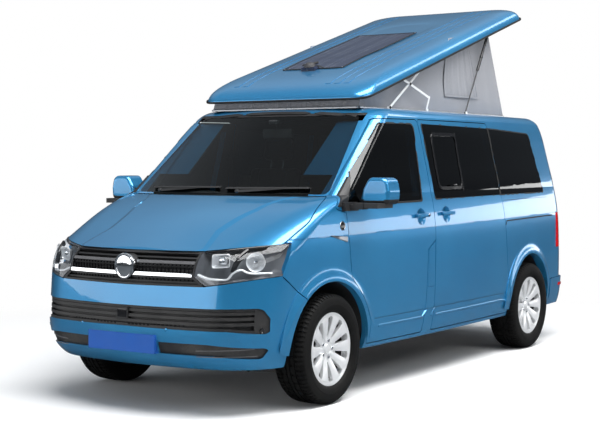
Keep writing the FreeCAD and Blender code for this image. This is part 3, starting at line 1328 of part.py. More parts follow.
def make_lift_gear():
    """Scissor arms, lower links and gas struts at both sides of the roof."""
    thick, width = size("arm_thick"), size("arm_width")
    top = size("roof_top")
    direction = math.atan2(ARM_HEAD[1] - ARM_FOOT[1], ARM_HEAD[0] - ARM_FOOT[0])
    cross = (ARM_FOOT[0] + BRACE_SHARE * math.cos(direction),
             ARM_FOOT[1] + BRACE_SHARE * math.sin(direction))
    lean = math.radians(BRACE_ANGLE)
    brace_front = (cross[0] - BRACE_AHEAD * math.cos(lean),
                   cross[1] - BRACE_AHEAD * math.sin(lean))
    brace_back = (cross[0] + BRACE_BEHIND * math.cos(lean),
                  cross[1] + BRACE_BEHIND * math.sin(lean))

    arm = flat_arm(ARM_X, ARM_FOOT, ARM_HEAD, thick, width)
    arm = arm.cut(pin(600, 700, ARM_FOOT, 5.3))
    slot_end = (ARM_HEAD[0] - HEAD_SLOT * math.cos(direction),
                ARM_HEAD[1] - HEAD_SLOT * math.sin(direction))
    arm = arm.cut(flat_arm(ARM_X, slot_end, ARM_HEAD, 40, 2 * HEAD_PIN + 1.9))
    arm = arm.fuse(pin(ARM_X, BRACE_X + 4, cross, 4.5))
    brace = flat_arm(BRACE_X, brace_front, brace_back, thick, width)
    brace = brace.cut(pin(600, 700, cross, 4.8))
    link = flat_arm(LINK_X, LINK_FOOT, brace_back, thick, width - 2)
    link = link.cut(pin(600, 700, LINK_FOOT, 5.3))
    for name, shape in (("lift_arms", arm), ("lift_braces", brace), ("lift_links", link)):
        node(name, both(shape))

    dy, dz = STRUT_FOOT[0] - STRUT_HEAD[0], STRUT_FOOT[1] - STRUT_HEAD[1]
    length = math.hypot(dy, dz)
    barrel_length = 415

    def along(distance):
        return (STRUT_X, STRUT_HEAD[0] + dy * distance / length,
                STRUT_HEAD[1] + dz * distance / length)

    radius = size("strut_radius")
    stem = size("rod_radius")
    barrel = rod(along(20), along(barrel_length), radius).fuse(rod(along(5), along(24), 4.5))
    barrel = barrel.fuse(pin(STRUT_X - 5, STRUT_X + 5, STRUT_HEAD, 10))
    barrel = barrel.cut(pin(600, 700, STRUT_HEAD, 5.3))
    bore = rod(along(barrel_length - 275), along(barrel_length + 5), stem + 0.3)
    barrel = barrel.cut(bore)
    shaft = rod(along(barrel_length - 20), along(length - 6), stem)
    eye = pin(STRUT_X - 4, STRUT_X + 4, STRUT_FOOT, 8)
    shaft = shaft.fuse(eye)
    node("strut_barrels", both(barrel))
    node("strut_rods", both(shaft))

    rail = block(641, 684, ARM_FOOT[0] - 40, LINK_FOOT[0] + 60, top + 0.4, top + 2.4)
    ear = block(641, 647, ARM_FOOT[0] - 14, ARM_FOOT[0] + 14, top + 1, top + 22)
    ear = ear.fuse(pin(641, 657, ARM_FOOT, 5))
    link_ear = block(680, 684, LINK_FOOT[0] - 14, LINK_FOOT[0] + 14, top + 1, top + 24)
    link_ear = link_ear.fuse(pin(672, 684, LINK_FOOT, 5))
    plate = block(641, 684, STRUT_FOOT[0] - 40, STRUT_FOOT[0] + 40, top + 0.4, top + 2.4)
    strut_ear = block(664, 668, STRUT_FOOT[0] - 14, STRUT_FOOT[0] + 14, top + 1, top + 24)
    strut_ear = strut_ear.fuse(pin(659.4, 668, STRUT_FOOT, 4))
    gear = rail.multiFuse([ear, link_ear])
    feet = plate.fuse(strut_ear)
    node("roof_brackets", Part.makeCompound([gear, mirrored(gear), feet, mirrored(feet)]))
    return cross, brace_back


# ------------------------------------------------------------------------ build
def build():
    slider_pane = make_doors()
    make_sides(slider_pane)
    make_wings()
    make_bonnet()
    make_front()
    make_tail()
    make_roof_frame()
    make_screen()
    make_plates()
    make_floor()
    make_underbody()
    make_wheels()
    make_knuckles()
    make_interior()
    make_steering_wheel()
    make_mirrors()
    make_screen_trim()
    make_pop_roof()
    make_lift_gear()


def write_out():
    """Check every object, then write one STEP file per node."""
    DOC.recompute()
    for item in DOC.Objects:
        if "Invalid" in item.State or "Error" in item.State:
            raise RuntimeError("failed: " + item.Label)
    for piece in NODES:
        shape = piece.Shape
        if shape.isNull() or not shape.isValid() or not shape.Solids:
            raise RuntimeError("no sound solid: " + piece.Label)
    os.makedirs("parts", exist_ok=True)
    for piece in NODES:
        piece.Shape.exportStep("parts/%s.step" % piece.Label)
    print("%d sub-parts written" % len(NODES))


build()
write_out()
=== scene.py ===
# Looks of the camper van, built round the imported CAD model. Metres, +Z up,
# -Y the nose, +X the vehicle's left side.
import json
import math

import bmesh
import bpy
from mathutils import Matrix, Vector
from mathutils.bvhtree import BVHTree


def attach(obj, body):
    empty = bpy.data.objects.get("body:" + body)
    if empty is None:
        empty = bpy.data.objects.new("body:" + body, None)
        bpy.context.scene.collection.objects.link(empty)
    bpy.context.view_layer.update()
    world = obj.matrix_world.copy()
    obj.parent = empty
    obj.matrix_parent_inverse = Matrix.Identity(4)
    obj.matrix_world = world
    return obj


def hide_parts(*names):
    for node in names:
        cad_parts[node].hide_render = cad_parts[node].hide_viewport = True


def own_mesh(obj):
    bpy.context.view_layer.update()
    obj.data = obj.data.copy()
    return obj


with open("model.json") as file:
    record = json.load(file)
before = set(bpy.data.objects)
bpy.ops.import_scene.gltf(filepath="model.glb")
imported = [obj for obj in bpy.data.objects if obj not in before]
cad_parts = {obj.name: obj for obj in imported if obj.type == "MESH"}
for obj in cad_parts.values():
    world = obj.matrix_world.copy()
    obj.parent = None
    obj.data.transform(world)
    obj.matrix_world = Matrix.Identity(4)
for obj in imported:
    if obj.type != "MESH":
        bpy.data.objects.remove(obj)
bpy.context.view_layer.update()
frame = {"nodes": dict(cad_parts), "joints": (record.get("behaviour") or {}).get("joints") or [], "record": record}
NODES = frame["nodes"]
SCENE = bpy.context.scene

FRONT_AXLE, REAR_AXLE = -1.540, 1.460   # along the van
HUB, HALF_TRACK = 0.345, 0.814          # wheel centre: height, place across
ROOF_TILT = math.radians(16.8)
ROOF_PIVOT = (FRONT_AXLE + 0.631, 1.729)
WHEELS = (("front_left", 1, FRONT_AXLE), ("front_right", -1, FRONT_AXLE),
          ("rear_left", 1, REAR_AXLE), ("rear_right", -1, REAR_AXLE))


# --------------------------------------------------------------- shader groups
def new_group(name, inputs, outputs):
    """An empty shader node group. Rows are (socket name, kind, default)."""
    group = bpy.data.node_groups.new(name, "ShaderNodeTree")
    for label, kind, default in inputs:
        socket = group.interface.new_socket(label, in_out="INPUT", socket_type=kind)
        socket.default_value = default
    for label, kind in outputs:
        group.interface.new_socket(label, in_out="OUTPUT", socket_type=kind)
    return group, group.nodes.new("NodeGroupInput"), group.nodes.new("NodeGroupOutput")


def add(tree, kind, **values):
    """A node with its settings (lower case) and its inputs (by socket name)."""
    node = tree.nodes.new("ShaderNode" + kind)
    sockets = values.pop("sockets", {})
    for key, value in values.items():
        setattr(node, key, value)
    for key, value in sockets.items():
        node.inputs[key].default_value = value
    return node


def noise(tree, vector, scale, detail=3.0, roughness=0.55):
    node = add(tree, "TexNoise", sockets={"Scale": scale, "Detail": detail,
                                          "Roughness": roughness})
    tree.links.new(vector, node.inputs["Vector"])
    return node.outputs["Fac"]


def ramp(tree, source, low, high):
    """Source from low..high to 0..1, clamped."""
    node = add(tree, "MapRange", sockets={"From Min": low, "From Max": high})
    tree.links.new(source, node.inputs["Value"])
    return node.outputs["Result"]


def maths(tree, operation, first, second):
    node = add(tree, "Math", operation=operation)
    for socket, value in zip(node.inputs, (first, second)):
        if isinstance(value, (int, float)):
            socket.default_value = value
        else:
            tree.links.new(value, socket)
    return node.outputs[0]


def blend_colour(tree, factor, first, second, kind="MIX"):
    node = add(tree, "Mix", data_type="RGBA", blend_type=kind)
    for name, value in (("Factor", factor), ("A", first), ("B", second)):
        socket = [s for s in node.inputs if s.name == name and s.enabled][0]
        if isinstance(value, (int, float)):
            socket.default_value = value
        elif isinstance(value, tuple):
            socket.default_value = (*value, 1) if len(value) == 3 else value
        else:
            tree.links.new(value, socket)
    return [s for s in node.outputs if s.enabled][0]


def make_road_dust():
    """Dust that gathers low down and in uneven patches."""
    group, entry, out = new_group(
        "road_dust",
        [("Colour", "NodeSocketColor", (0.5, 0.5, 0.5, 1)),
         ("Roughness", "NodeSocketFloat", 0.4), ("Amount", "NodeSocketFloat", 0.3)],
        [("Colour", "NodeSocketColor"), ("Roughness", "NodeSocketFloat")])
    where = add(group, "TexCoord").outputs["Object"]
    split = add(group, "SeparateXYZ")
    group.links.new(where, split.inputs[0])
    low = ramp(group, split.outputs["Z"], 0.75, 0.05)
    patches = ramp(group, noise(group, where, 6, 5), 0.35, 0.75)
    fine = noise(group, where, 90, 2)
    mask = maths(group, "MULTIPLY", maths(group, "MULTIPLY", low, patches), fine)
    mask = maths(group, "MULTIPLY", mask, entry.outputs["Amount"])
    colour = blend_colour(group, mask, entry.outputs["Colour"], (0.34, 0.31, 0.27))
    rough = maths(group, "ADD", entry.outputs["Roughness"],
                  maths(group, "MULTIPLY", mask, 0.6))
    group.links.new(colour, out.inputs["Colour"])
    group.links.new(rough, out.inputs["Roughness"])
    return group


def make_fine_grain():
    """Moulded or cast grain: a height, with colour and roughness that vary with it."""
    group, entry, out = new_group(
        "fine_grain",
        [("Colour", "NodeSocketColor", (0.5, 0.5, 0.5, 1)),
         ("Roughness", "NodeSocketFloat", 0.5), ("Scale", "NodeSocketFloat", 900),
         ("Contrast", "NodeSocketFloat", 0.2)],
        [("Colour", "NodeSocketColor"), ("Roughness", "NodeSocketFloat"),
         ("Height", "NodeSocketFloat")])
    where = add(group, "TexCoord").outputs["Object"]
    pits = add(group, "TexVoronoi", feature="F1")
    group.links.new(where, pits.inputs["Vector"])
    group.links.new(entry.outputs["Scale"], pits.inputs["Scale"])
    broad = noise(group, where, 7, 4)
    shade = maths(group, "MULTIPLY", maths(group, "SUBTRACT", broad, 0.5),
                  entry.outputs["Contrast"])
    lift = maths(group, "ADD", shade, 1.0)
    grey = add(group, "CombineColor")
    for socket in grey.inputs[:3]:
        group.links.new(lift, socket)
    colour = blend_colour(group, 1.0, entry.outputs["Colour"], grey.outputs[0], "MULTIPLY")
    rough = maths(group, "ADD", entry.outputs["Roughness"],
                  maths(group, "MULTIPLY", shade, 0.7))
    group.links.new(colour, out.inputs["Colour"])
    group.links.new(rough, out.inputs["Roughness"])
    group.links.new(pits.outputs["Distance"], out.inputs["Height"])
    return group


def make_weave():
    """Plain woven cloth: crossing threads, with slubs and worn patches."""
    group, entry, out = new_group(
        "weave",
        [("Thread", "NodeSocketColor", (0.3, 0.3, 0.3, 1)),
         ("Gap", "NodeSocketColor", (0.1, 0.1, 0.1, 1)),
         ("Threads", "NodeSocketFloat", 700)],
        [("Colour", "NodeSocketColor"), ("Height", "NodeSocketFloat")])
    where = add(group, "TexCoord").outputs["Object"]
    scaled = add(group, "VectorMath", operation="SCALE")
    group.links.new(where, scaled.inputs[0])
    group.links.new(entry.outputs["Threads"], scaled.inputs["Scale"])
    split = add(group, "SeparateXYZ")
    group.links.new(scaled.outputs[0], split.inputs[0])
    waves = [add(group, "Math", operation="SINE") for _ in range(3)]
    for wave, axis in zip(waves, "XYZ"):
        group.links.new(split.outputs[axis], wave.inputs[0])
    across = maths(group, "MULTIPLY", maths(group, "ADD", waves[0].outputs[0],
                                            waves[1].outputs[0]), 0.5)
    cloth = maths(group, "MULTIPLY", across, waves[2].outputs[0])
    height = ramp(group, cloth, -0.7, 0.7)
    slubs = noise(group, where, 55, 3)
    height = maths(group, "MULTIPLY", height, maths(group, "ADD", slubs, 0.4))
    colour = blend_colour(group, height, entry.outputs["Gap"], entry.outputs["Thread"])
    worn = ramp(group, noise(group, where, 5, 4), 0.3, 0.8)
    colour = blend_colour(group, maths(group, "MULTIPLY", worn, 0.25), colour,
                          entry.outputs["Thread"])
    group.links.new(colour, out.inputs["Colour"])
    group.links.new(height, out.inputs["Height"])
    return group


def make_brushed():
    """Fine scratches along one way, and finger marks, for roughness."""
    group, entry, out = new_group(
        "brushed",
        [("Roughness", "NodeSocketFloat", 0.2), ("Marks", "NodeSocketFloat", 0.1)],
        [("Roughness", "NodeSocketFloat"), ("Height", "NodeSocketFloat")])
    where = add(group, "TexCoord").outputs["Object"]
    stretch = add(group, "Mapping")
    stretch.inputs["Scale"].default_value = (60, 2200, 2200)
    group.links.new(where, stretch.inputs[0])
    lines = noise(group, stretch.outputs[0], 1, 2)
    smears = noise(group, where, 12, 5)
    both = maths(group, "ADD", maths(group, "MULTIPLY", lines, 0.5), smears)
    marks = maths(group, "MULTIPLY", maths(group, "SUBTRACT", both, 0.7),
                  entry.outputs["Marks"])
    group.links.new(maths(group, "ADD", entry.outputs["Roughness"], marks),
                    out.inputs["Roughness"])
    group.links.new(lines, out.inputs["Height"])
    return group


ROAD_DUST = make_road_dust()
FINE_GRAIN = make_fine_grain()
WEAVE = make_weave()
BRUSHED = make_brushed()
GLASS_IOR = 1.45


# ------------------------------------------------------------------- materials
def new_material(name, **constants):
    """A material whose Principled sockets are set to the constants given."""
    material = bpy.data.materials.new(name)
    material.use_nodes = True
    tree = material.node_tree
    shader = tree.nodes["Principled BSDF"]
    for key, value in constants.items():
        socket = shader.inputs[key.replace("_", " ")]
        if isinstance(value, tuple) and len(value) == 3:
            value = (*value, 1)
        socket.default_value = value
    return material, tree, shader


def place_group(tree, group, **values):
    node = tree.nodes.new("ShaderNodeGroup")
    node.node_tree = group
    for key, value in values.items():
        if isinstance(value, tuple):
            value = (*value, 1)
        node.inputs[key].default_value = value
    return node


def raise_bump(tree, shader, height, strength, distance=0.0004):
    bump = add(tree, "Bump", sockets={"Strength": strength, "Distance": distance})
    tree.links.new(height, bump.inputs["Height"])
    tree.links.new(bump.outputs["Normal"], shader.inputs["Normal"])


def send(tree, value, socket):
    """Link an output to a socket, or set the socket to a plain value."""
    if isinstance(value, bpy.types.NodeSocket):
        tree.links.new(value, socket)
    else:
        socket.default_value = (*value, 1) if isinstance(value, tuple) else value


def dusted(tree, shader, amount, colour, roughness):
    """Take a colour and a roughness through the road dust to the shader."""
    dirt = place_group(tree, ROAD_DUST, Amount=amount)
    send(tree, colour, dirt.inputs["Colour"])
    send(tree, roughness, dirt.inputs["Roughness"])
    tree.links.new(dirt.outputs["Colour"], shader.inputs["Base Color"])
    tree.links.new(dirt.outputs["Roughness"], shader.inputs["Roughness"])


def mix_shaders(tree, factor, first, second):
    mix = add(tree, "MixShader")
    for socket, source in zip(mix.inputs, (factor, first, second)):
        tree.links.new(source, socket)
    return mix.outputs[0]


def film(tree, amount):
    """Faint smears of a cleaned pane, for its roughness."""
    where = add(tree, "TexCoord").outputs["Object"]
    patches = ramp(tree, noise(tree, where, 9, 5), 0.45, 0.9)
    return maths(tree, "MULTIPLY", patches, amount)


def painted(name, colour, flake, metallic, dust):
    """Metallic car paint under clear coat, with flakes, faint waviness and dust."""
    material, tree, shader = new_material(
        name, Metallic=metallic, Coat_Weight=1.0, Coat_Roughness=0.02)
    where = add(tree, "TexCoord").outputs["Object"]
    cells = add(tree, "TexVoronoi", feature="F1", sockets={"Scale": 2600})
    tree.links.new(where, cells.inputs["Vector"])
    sparkle = ramp(tree, cells.outputs["Color"], 0.55, 1.0)
    broad = ramp(tree, noise(tree, where, 1.3, 2), 0.25, 0.75)
    tint = blend_colour(tree, maths(tree, "MULTIPLY", broad, 0.22), colour, flake)
    tint = blend_colour(tree, maths(tree, "MULTIPLY", sparkle, 0.28), tint, flake)
    dusted(tree, shader, dust, tint, 0.3)
    raise_bump(tree, shader, noise(tree, where, 420, 2), 0.012)
    return material


def moulded(name, colour, roughness, scale=1100, contrast=0.35, bump=0.25, dust=0.4,
            **constants):
    """Grained plastic, rubber or casting."""
    material, tree, shader = new_material(name, **constants)
    grain = place_group(tree, FINE_GRAIN, Colour=colour, Roughness=roughness, Scale=scale,
                        Contrast=contrast)
    dusted(tree, shader, dust, grain.outputs["Colour"], grain.outputs["Roughness"])
    raise_bump(tree, shader, grain.outputs["Height"], bump)
    return material


def bright(name, colour, roughness, marks=0.12, dust=0.15, metallic=1.0, coat=0.0):
    """Polished, brushed or painted metal."""
    material, tree, shader = new_material(name, Metallic=metallic, Coat_Weight=coat,
                                          Coat_Roughness=0.05)
    lines = place_group(tree, BRUSHED, Roughness=roughness, Marks=marks)
    dusted(tree, shader, dust, colour, lines.outputs["Roughness"])
    raise_bump(tree, shader, lines.outputs["Height"], 0.02, 0.0001)
    return material


def glass(name, colour):
    """Dark glass, with faint smears in its roughness."""
    material, tree, shader = new_material(name, Base_Color=colour, IOR=GLASS_IOR,
                                          Transmission_Weight=1.0, Metallic=0.0)
    tree.links.new(maths(tree, "ADD", film(tree, 0.04), 0.015), shader.inputs["Roughness"])
    return material


def pane(name, tint):
    """Thin clear glass that lets light in: tinted, with mirror reflections on top."""
    material, tree, shader = new_material(name, Base_Color=(0.95, 0.96, 0.97), Metallic=1.0)
    tree.links.new(film(tree, 0.02), shader.inputs["Roughness"])
    through = add(tree, "BsdfTransparent", sockets={"Color": (*tint, 1)})
    share = add(tree, "Fresnel", sockets={"IOR": GLASS_IOR}).outputs[0]
    front = maths(tree, "SUBTRACT", 1.0, add(tree, "NewGeometry").outputs["Backfacing"])
    surface = mix_shaders(tree, maths(tree, "MULTIPLY", share, front), through.outputs[0],
                          shader.outputs[0])
    tree.links.new(surface, tree.nodes["Material Output"].inputs["Surface"])
    return material


def woven(name, thread, gap, threads, bump=0.6, sheen=0.3):
    material, tree, shader = new_material(name, Roughness=0.85, Sheen_Weight=sheen,
                                          Sheen_Roughness=0.5)
    cloth = place_group(tree, WEAVE, Thread=thread, Gap=gap, Threads=threads)
    tree.links.new(cloth.outputs["Colour"], shader.inputs["Base Color"])
    raise_bump(tree, shader, cloth.outputs["Height"], bump, 0.0006)
    return material


def make_laminate():
    """Light wood laminate for the kitchen unit."""
    material, tree, shader = new_material("furniture", Coat_Weight=0.15)
    where = add(tree, "TexCoord").outputs["Object"]
    stretch = add(tree, "Mapping")
    stretch.inputs["Scale"].default_value = (9, 0.9, 9)
    tree.links.new(where, stretch.inputs[0])
    grain = noise(tree, stretch.outputs[0], 6, 6, 0.7)
    fibres = noise(tree, stretch.outputs[0], 60, 3)
    colour = blend_colour(tree, ramp(tree, grain, 0.3, 0.7), (0.36, 0.29, 0.22),
                          (0.55, 0.47, 0.38))
    colour = blend_colour(tree, maths(tree, "MULTIPLY", fibres, 0.3), colour,
                          (0.25, 0.19, 0.14))
    tree.links.new(colour, shader.inputs["Base Color"])
    tree.links.new(maths(tree, "ADD", maths(tree, "MULTIPLY", fibres, 0.15), 0.32),
                   shader.inputs["Roughness"])
    raise_bump(tree, shader, fibres, 0.1, 0.0002)
    return material


def make_solar_cells():
    """Dark blue cells with fine silver fingers and broader bus bars, under glass."""
    material, tree, shader = new_material("solar", Coat_Weight=0.12, Coat_Roughness=0.06,
                                          Metallic=0.0, Roughness=0.28)
    where = add(tree, "TexCoord").outputs["Object"]
    split = add(tree, "SeparateXYZ")
    tree.links.new(where, split.inputs[0])

    def lines(axis, pitch, width):
        share = maths(tree, "FRACT", maths(tree, "DIVIDE", split.outputs[axis], pitch), 0)
        return maths(tree, "LESS_THAN", share, width / pitch)
    fingers = lines("Y", 0.0042, 0.0005)
    bars = lines("X", 0.0520, 0.0022)
    gaps = maths(tree, "MAXIMUM", lines("X", 0.1560, 0.0040), lines("Y", 0.1500, 0.0040))
    tone = noise(tree, where, 14, 3)
    cell = blend_colour(tree, tone, (0.008, 0.012, 0.034), (0.014, 0.024, 0.062))
    cell = blend_colour(tree, maths(tree, "MULTIPLY", fingers, 0.22), cell,
                        (0.30, 0.33, 0.38))
    cell = blend_colour(tree, maths(tree, "MULTIPLY", bars, 0.6), cell, (0.45, 0.48, 0.52))
    cell = blend_colour(tree, gaps, cell, (0.010, 0.011, 0.014))
    tree.links.new(cell, shader.inputs["Base Color"])
    return material


# Finishes by name; a CAD node takes the one its material slot names.
M = {
    "body_paint": painted("body_paint", (0.013, 0.185, 0.410), (0.070, 0.42, 0.74), 0.55,
                          dust=0.15),
    "glazing": glass("glazing", (0.030, 0.036, 0.038)),
    "clear_glass": pane("clear_glass", (0.60, 0.64, 0.64)),
    "black_plastic": moulded("black_plastic", (0.014, 0.014, 0.015), 0.5),
    "gloss_black": moulded("gloss_black", (0.007, 0.007, 0.008), 0.12, bump=0.02,
                           contrast=0.1, dust=0.2),
    "chrome": bright("chrome", (0.86, 0.87, 0.89), 0.07),
    "satin_metal": bright("satin_metal", (0.55, 0.57, 0.60), 0.28),
    "lens": pane("lens", (0.97, 0.98, 0.99)),
    "tail_lamp": moulded("tail_lamp", (0.50, 0.004, 0.006), 0.10, bump=0.02, contrast=0.1,
                         dust=0.1),
    "amber_lens": moulded("amber_lens", (0.80, 0.20, 0.01), 0.10, bump=0.02, contrast=0.1,
                          dust=0.1),
    "tyre": moulded("tyre", (0.004, 0.004, 0.004), 0.70, scale=700, contrast=0.6, bump=0.3,
                    dust=0.03, Specular_IOR_Level=0.2),
    "alloy": bright("alloy", (0.72, 0.73, 0.74), 0.30, marks=0.1, metallic=0.35, coat=0.6),
    "seat_fabric": woven("seat_fabric", (0.062, 0.063, 0.068), (0.012, 0.012, 0.014), 2600),
    "trim_plastic": moulded("trim_plastic", (0.030, 0.030, 0.033), 0.6, scale=800, bump=0.4),
    "furniture": make_laminate(),
    "underbody": moulded("underbody", (0.020, 0.020, 0.022), 0.55, scale=300, contrast=0.7,
                         bump=0.3, dust=0.8),
    "cast_metal": moulded("cast_metal", (0.16, 0.16, 0.165), 0.6, scale=260, contrast=0.8,
                          bump=0.6, dust=0.7, Metallic=0.8),
    "steel": bright("steel", (0.42, 0.42, 0.43), 0.34, marks=0.3, dust=0.6),
    "lift_metal": bright("lift_metal", (0.82, 0.83, 0.84), 0.33, metallic=0.35, coat=0.3),
    "strut_black": moulded("strut_black", (0.010, 0.010, 0.011), 0.25, bump=0.03, dust=0.1),
    "canvas": woven("canvas", (0.31, 0.315, 0.34), (0.18, 0.185, 0.20), 1500, bump=0.35,
                    sheen=0.1),
    "solar": make_solar_cells(),
    "plate": moulded("plate", (0.012, 0.085, 0.36), 0.25, contrast=0.1, bump=0.03, dust=0.1),
    "lamp_grey": moulded("lamp_grey", (0.10, 0.105, 0.115), 0.35, bump=0.05, dust=0.0),
    "trim_grey": moulded("trim_grey", (0.10, 0.10, 0.105), 0.42, bump=0.1, dust=0.2),
    "rubber": moulded("rubber", (0.010, 0.010, 0.010), 0.7, bump=0.15, dust=0.3),
}
M["lamp"] = M["lens"]


# ------------------------------------------------------------- modelling tools
def unique(items):
    """Each item once, in order."""
    return list(dict.fromkeys(items))


def block(bm, low, high, round_off=0.0, material=0, segments=2):
    """A box between two corners, with its edges rounded."""
    made = bmesh.ops.create_cube(bm, size=1)["verts"]
    low, high = Vector(low), Vector(high)
    bmesh.ops.scale(bm, vec=[abs(v) for v in high - low], verts=made)
    bmesh.ops.translate(bm, vec=(low + high) / 2, verts=made)
    faces = unique(face for vert in made for face in vert.link_faces)
    for face in faces:
        face.material_index = material
    if round_off:
        round_edges(bm, unique(edge for face in faces for edge in face.edges), round_off,
                    segments)


def round_edges(bm, edges, offset, segments=2):
    bmesh.ops.bevel(bm, geom=edges, offset=offset, offset_type="OFFSET", segments=segments,
                    profile=0.5, affect="EDGES", material=-1, clamp_overlap=True)


def aim(axis):
    """Rotation that takes +Z to the axis."""
    return Vector(axis).to_track_quat("Z", "Y").to_matrix().to_4x4()


def rod(bm, start, end, radius, far_radius=None, segments=20, material=0, round_off=0.0):
    """A round bar or cone between two points."""
    start, end = Vector(start), Vector(end)
    place = Matrix.Translation((start + end) / 2) @ aim(end - start)
    made = bmesh.ops.create_cone(
        bm, cap_ends=True, segments=segments, radius1=radius,
        radius2=radius if far_radius is None else far_radius,
        depth=(end - start).length, matrix=place)["verts"]
    faces = unique(face for vert in made for face in vert.link_faces)
    for face in faces:
        face.material_index = material
    if round_off:
        round_edges(bm, [edge for face in faces if len(face.verts) > 4
                         for edge in face.edges], round_off)


def turned(bm, profile, place, axis, steps=48, material=0, closed=False):
    """A profile of (radius, place along the axis), spun round the axis."""
    known, known_faces = set(bm.verts), set(bm.faces)
    points = [bm.verts.new((radius, 0, along)) for radius, along in profile]
    pairs = list(zip(points, points[1:]))
    if closed:
        pairs.append((points[-1], points[0]))
    lines = [bm.edges.new(pair) for pair in pairs]
    bmesh.ops.spin(bm, geom=points + lines, cent=(0, 0, 0), axis=(0, 0, 1), angle=math.tau,
                   steps=steps, use_merge=True)
    made = [vert for vert in bm.verts if vert not in known]
    bmesh.ops.transform(bm, matrix=Matrix.Translation(place) @ aim(axis), verts=made)
    for face in bm.faces:
        if face not in known_faces:
            face.material_index = material


def ring(bm, verts):
    """Edges round a closed loop of vertices."""
    return [bm.edges.new(pair) for pair in zip(verts, verts[1:] + verts[:1])]


def span(bm, loops):
    """Faces from each loop of edges to the next."""
    faces = []
    for first, second in zip(loops, loops[1:]):
        faces += bmesh.ops.bridge_loops(bm, edges=first + second)["faces"]
    return faces


def cap(bm, loops):
    """Faces that close the first and the last loop."""
    faces = []
    for loop in (loops[0], loops[-1]):
        faces += bmesh.ops.contextual_create(bm, geom=loop)["faces"]
    return faces


def sweep(bm, path, outline, closed=False, ups=None, material=0):
    """Carry a closed outline of (sideways, up) places along a path."""
    path = [Vector(point) for point in path]
    count = len(path)
    loops = []
    for i, point in enumerate(path):
        ahead = path[(i + 1) % count] if closed or i + 1 < count else point
        behind = path[i - 1] if closed or i else point
        run = (ahead - behind).normalized()
        up = Vector(ups[i] if ups else (0, 0, 1))
        up = (up - run * up.dot(run)).normalized()
        side = run.cross(up)
        loops.append(ring(bm, [bm.verts.new(point + side * u + up * v) for u, v in outline]))
    made = span(bm, loops + loops[:1] if closed else loops)
    if not closed:
        made += cap(bm, loops)
    for face in made:
        face.material_index = material


def circle(radius, count=10):
    return [(radius * math.cos(math.tau * i / count), radius * math.sin(math.tau * i / count))
            for i in range(count)]


def bar(width, height):
    """Outline of a flat bar lying on a surface, its top edges eased."""
    half, c = width / 2, height / 4
    return [(-half, 0), (half, 0), (half, height - c), (half - c, height),
            (-half + c, height), (-half, height - c)]


def smooth_path(points, steps=6):
    """A smooth open run through the points."""
    points = [Vector(p) for p in points]
    out = []
    for i in range(len(points) - 1):
        a, b, c = points[max(i - 1, 0)], points[i], points[i + 1]
        d = points[min(i + 2, len(points) - 1)]
        for k in range(steps):
            t = k / steps
            out.append(0.5 * (2 * b + (c - a) * t + (2 * a - 5 * b + 4 * c - d) * t * t
                              + (3 * b - a - 3 * c + d) * t ** 3))
    return out + [points[-1]]


def rounded_path(corners, steps=6):
    """A closed loop with round corners. Rows: (u, v, corner radius)."""
    out = []
    count = len(corners)
    for i, (u, v, radius) in enumerate(corners):
        here = Vector((u, v))
        before = Vector(corners[i - 1][:2]) - here
        after = Vector(corners[(i + 1) % count][:2]) - here
        if radius <= 0:
            out.append(here)
            continue
        half = before.angle(after) / 2
        reach = min(radius / math.tan(half), 0.49 * before.length, 0.49 * after.length)
        start, end = here + before.normalized() * reach, here + after.normalized() * reach
        for k in range(steps + 1):
            t = k / steps
            out.append(start * (1 - t) ** 2 + here * 2 * t * (1 - t) + end * t * t)
    return out


def surface_of(*names):
    """CAD nodes as one surface to lay pieces on."""
    bm = bmesh.new()
    for name in names:
        bm.from_mesh(NODES[name].data)
    tree = BVHTree.FromBMesh(bm)
    bm.free()
    return tree


def onto(surface, start, towards):
    """(place, outward normal) where a ray from start first meets a surface."""
    towards = Vector(towards).normalized()
    place, normal, _, _ = surface.ray_cast(Vector(start), towards)
    if place is None:
        place, normal, _, _ = surface.find_nearest(Vector(start) + towards * 0.5)
    return place, -normal if normal.dot(towards) > 0 else normal


def from_left(surface, y, z):
    """Where the surface is seen from the left, and its normal there."""
    return onto(surface, (2.0, y, z), (-1, 0, 0))


def from_front(surface, x, z):
    return onto(surface, (x, -3.0, z), (0, 1, 0))


def from_back(surface, x, z):
    return onto(surface, (x, 3.5, z), (0, -1, 0))


def lay(bm, view, surface, points, outline, lift=0.0, closed=False, material=0):
    """Lay a strip on a surface through points given as one of the views sees them."""
    seats = [view(surface, *point) for point in points]
    sweep(bm, [place + normal * lift for place, normal in seats], outline, closed=closed,
          ups=[normal for _, normal in seats], material=material)


def flip(bm):
    """Turn a piece of the left side into one of the right."""
    bmesh.ops.scale(bm, vec=(-1, 1, 1), verts=bm.verts)


def mirror_half(bm):
    """Add the other side's copy, mirrored across the van's middle."""
    copied = bmesh.ops.duplicate(bm, geom=bm.verts[:] + bm.edges[:] + bm.faces[:])["geom"]
    verts = [g for g in copied if isinstance(g, bmesh.types.BMVert)]
    bmesh.ops.scale(bm, vec=(-1, 1, 1), verts=verts)
    bmesh.ops.reverse_faces(bm, faces=[g for g in copied if isinstance(g, bmesh.types.BMFace)])


def piece(name, bm, materials, body, replaces=(), sharp=32, outward=True,
          both_sides=False):
    """Turn a bmesh into a piece that rides on a body."""
    bmesh.ops.remove_doubles(bm, verts=bm.verts, dist=1e-6)
    if outward:
        bmesh.ops.recalc_face_normals(bm, faces=bm.faces)
    if both_sides:
        mirror_half(bm)
    mesh = bpy.data.meshes.new(name)
    bm.to_mesh(mesh)
    bm.free()
    for material in materials:
        mesh.materials.append(M[material])
    for polygon in mesh.polygons:
        polygon.use_smooth = True
    mesh.set_sharp_from_angle(angle=math.radians(sharp))
    made = bpy.data.objects.new(name, mesh)
    SCENE.collection.objects.link(made)
    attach(made, body)
    if replaces:
        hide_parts(*replaces)
    return made


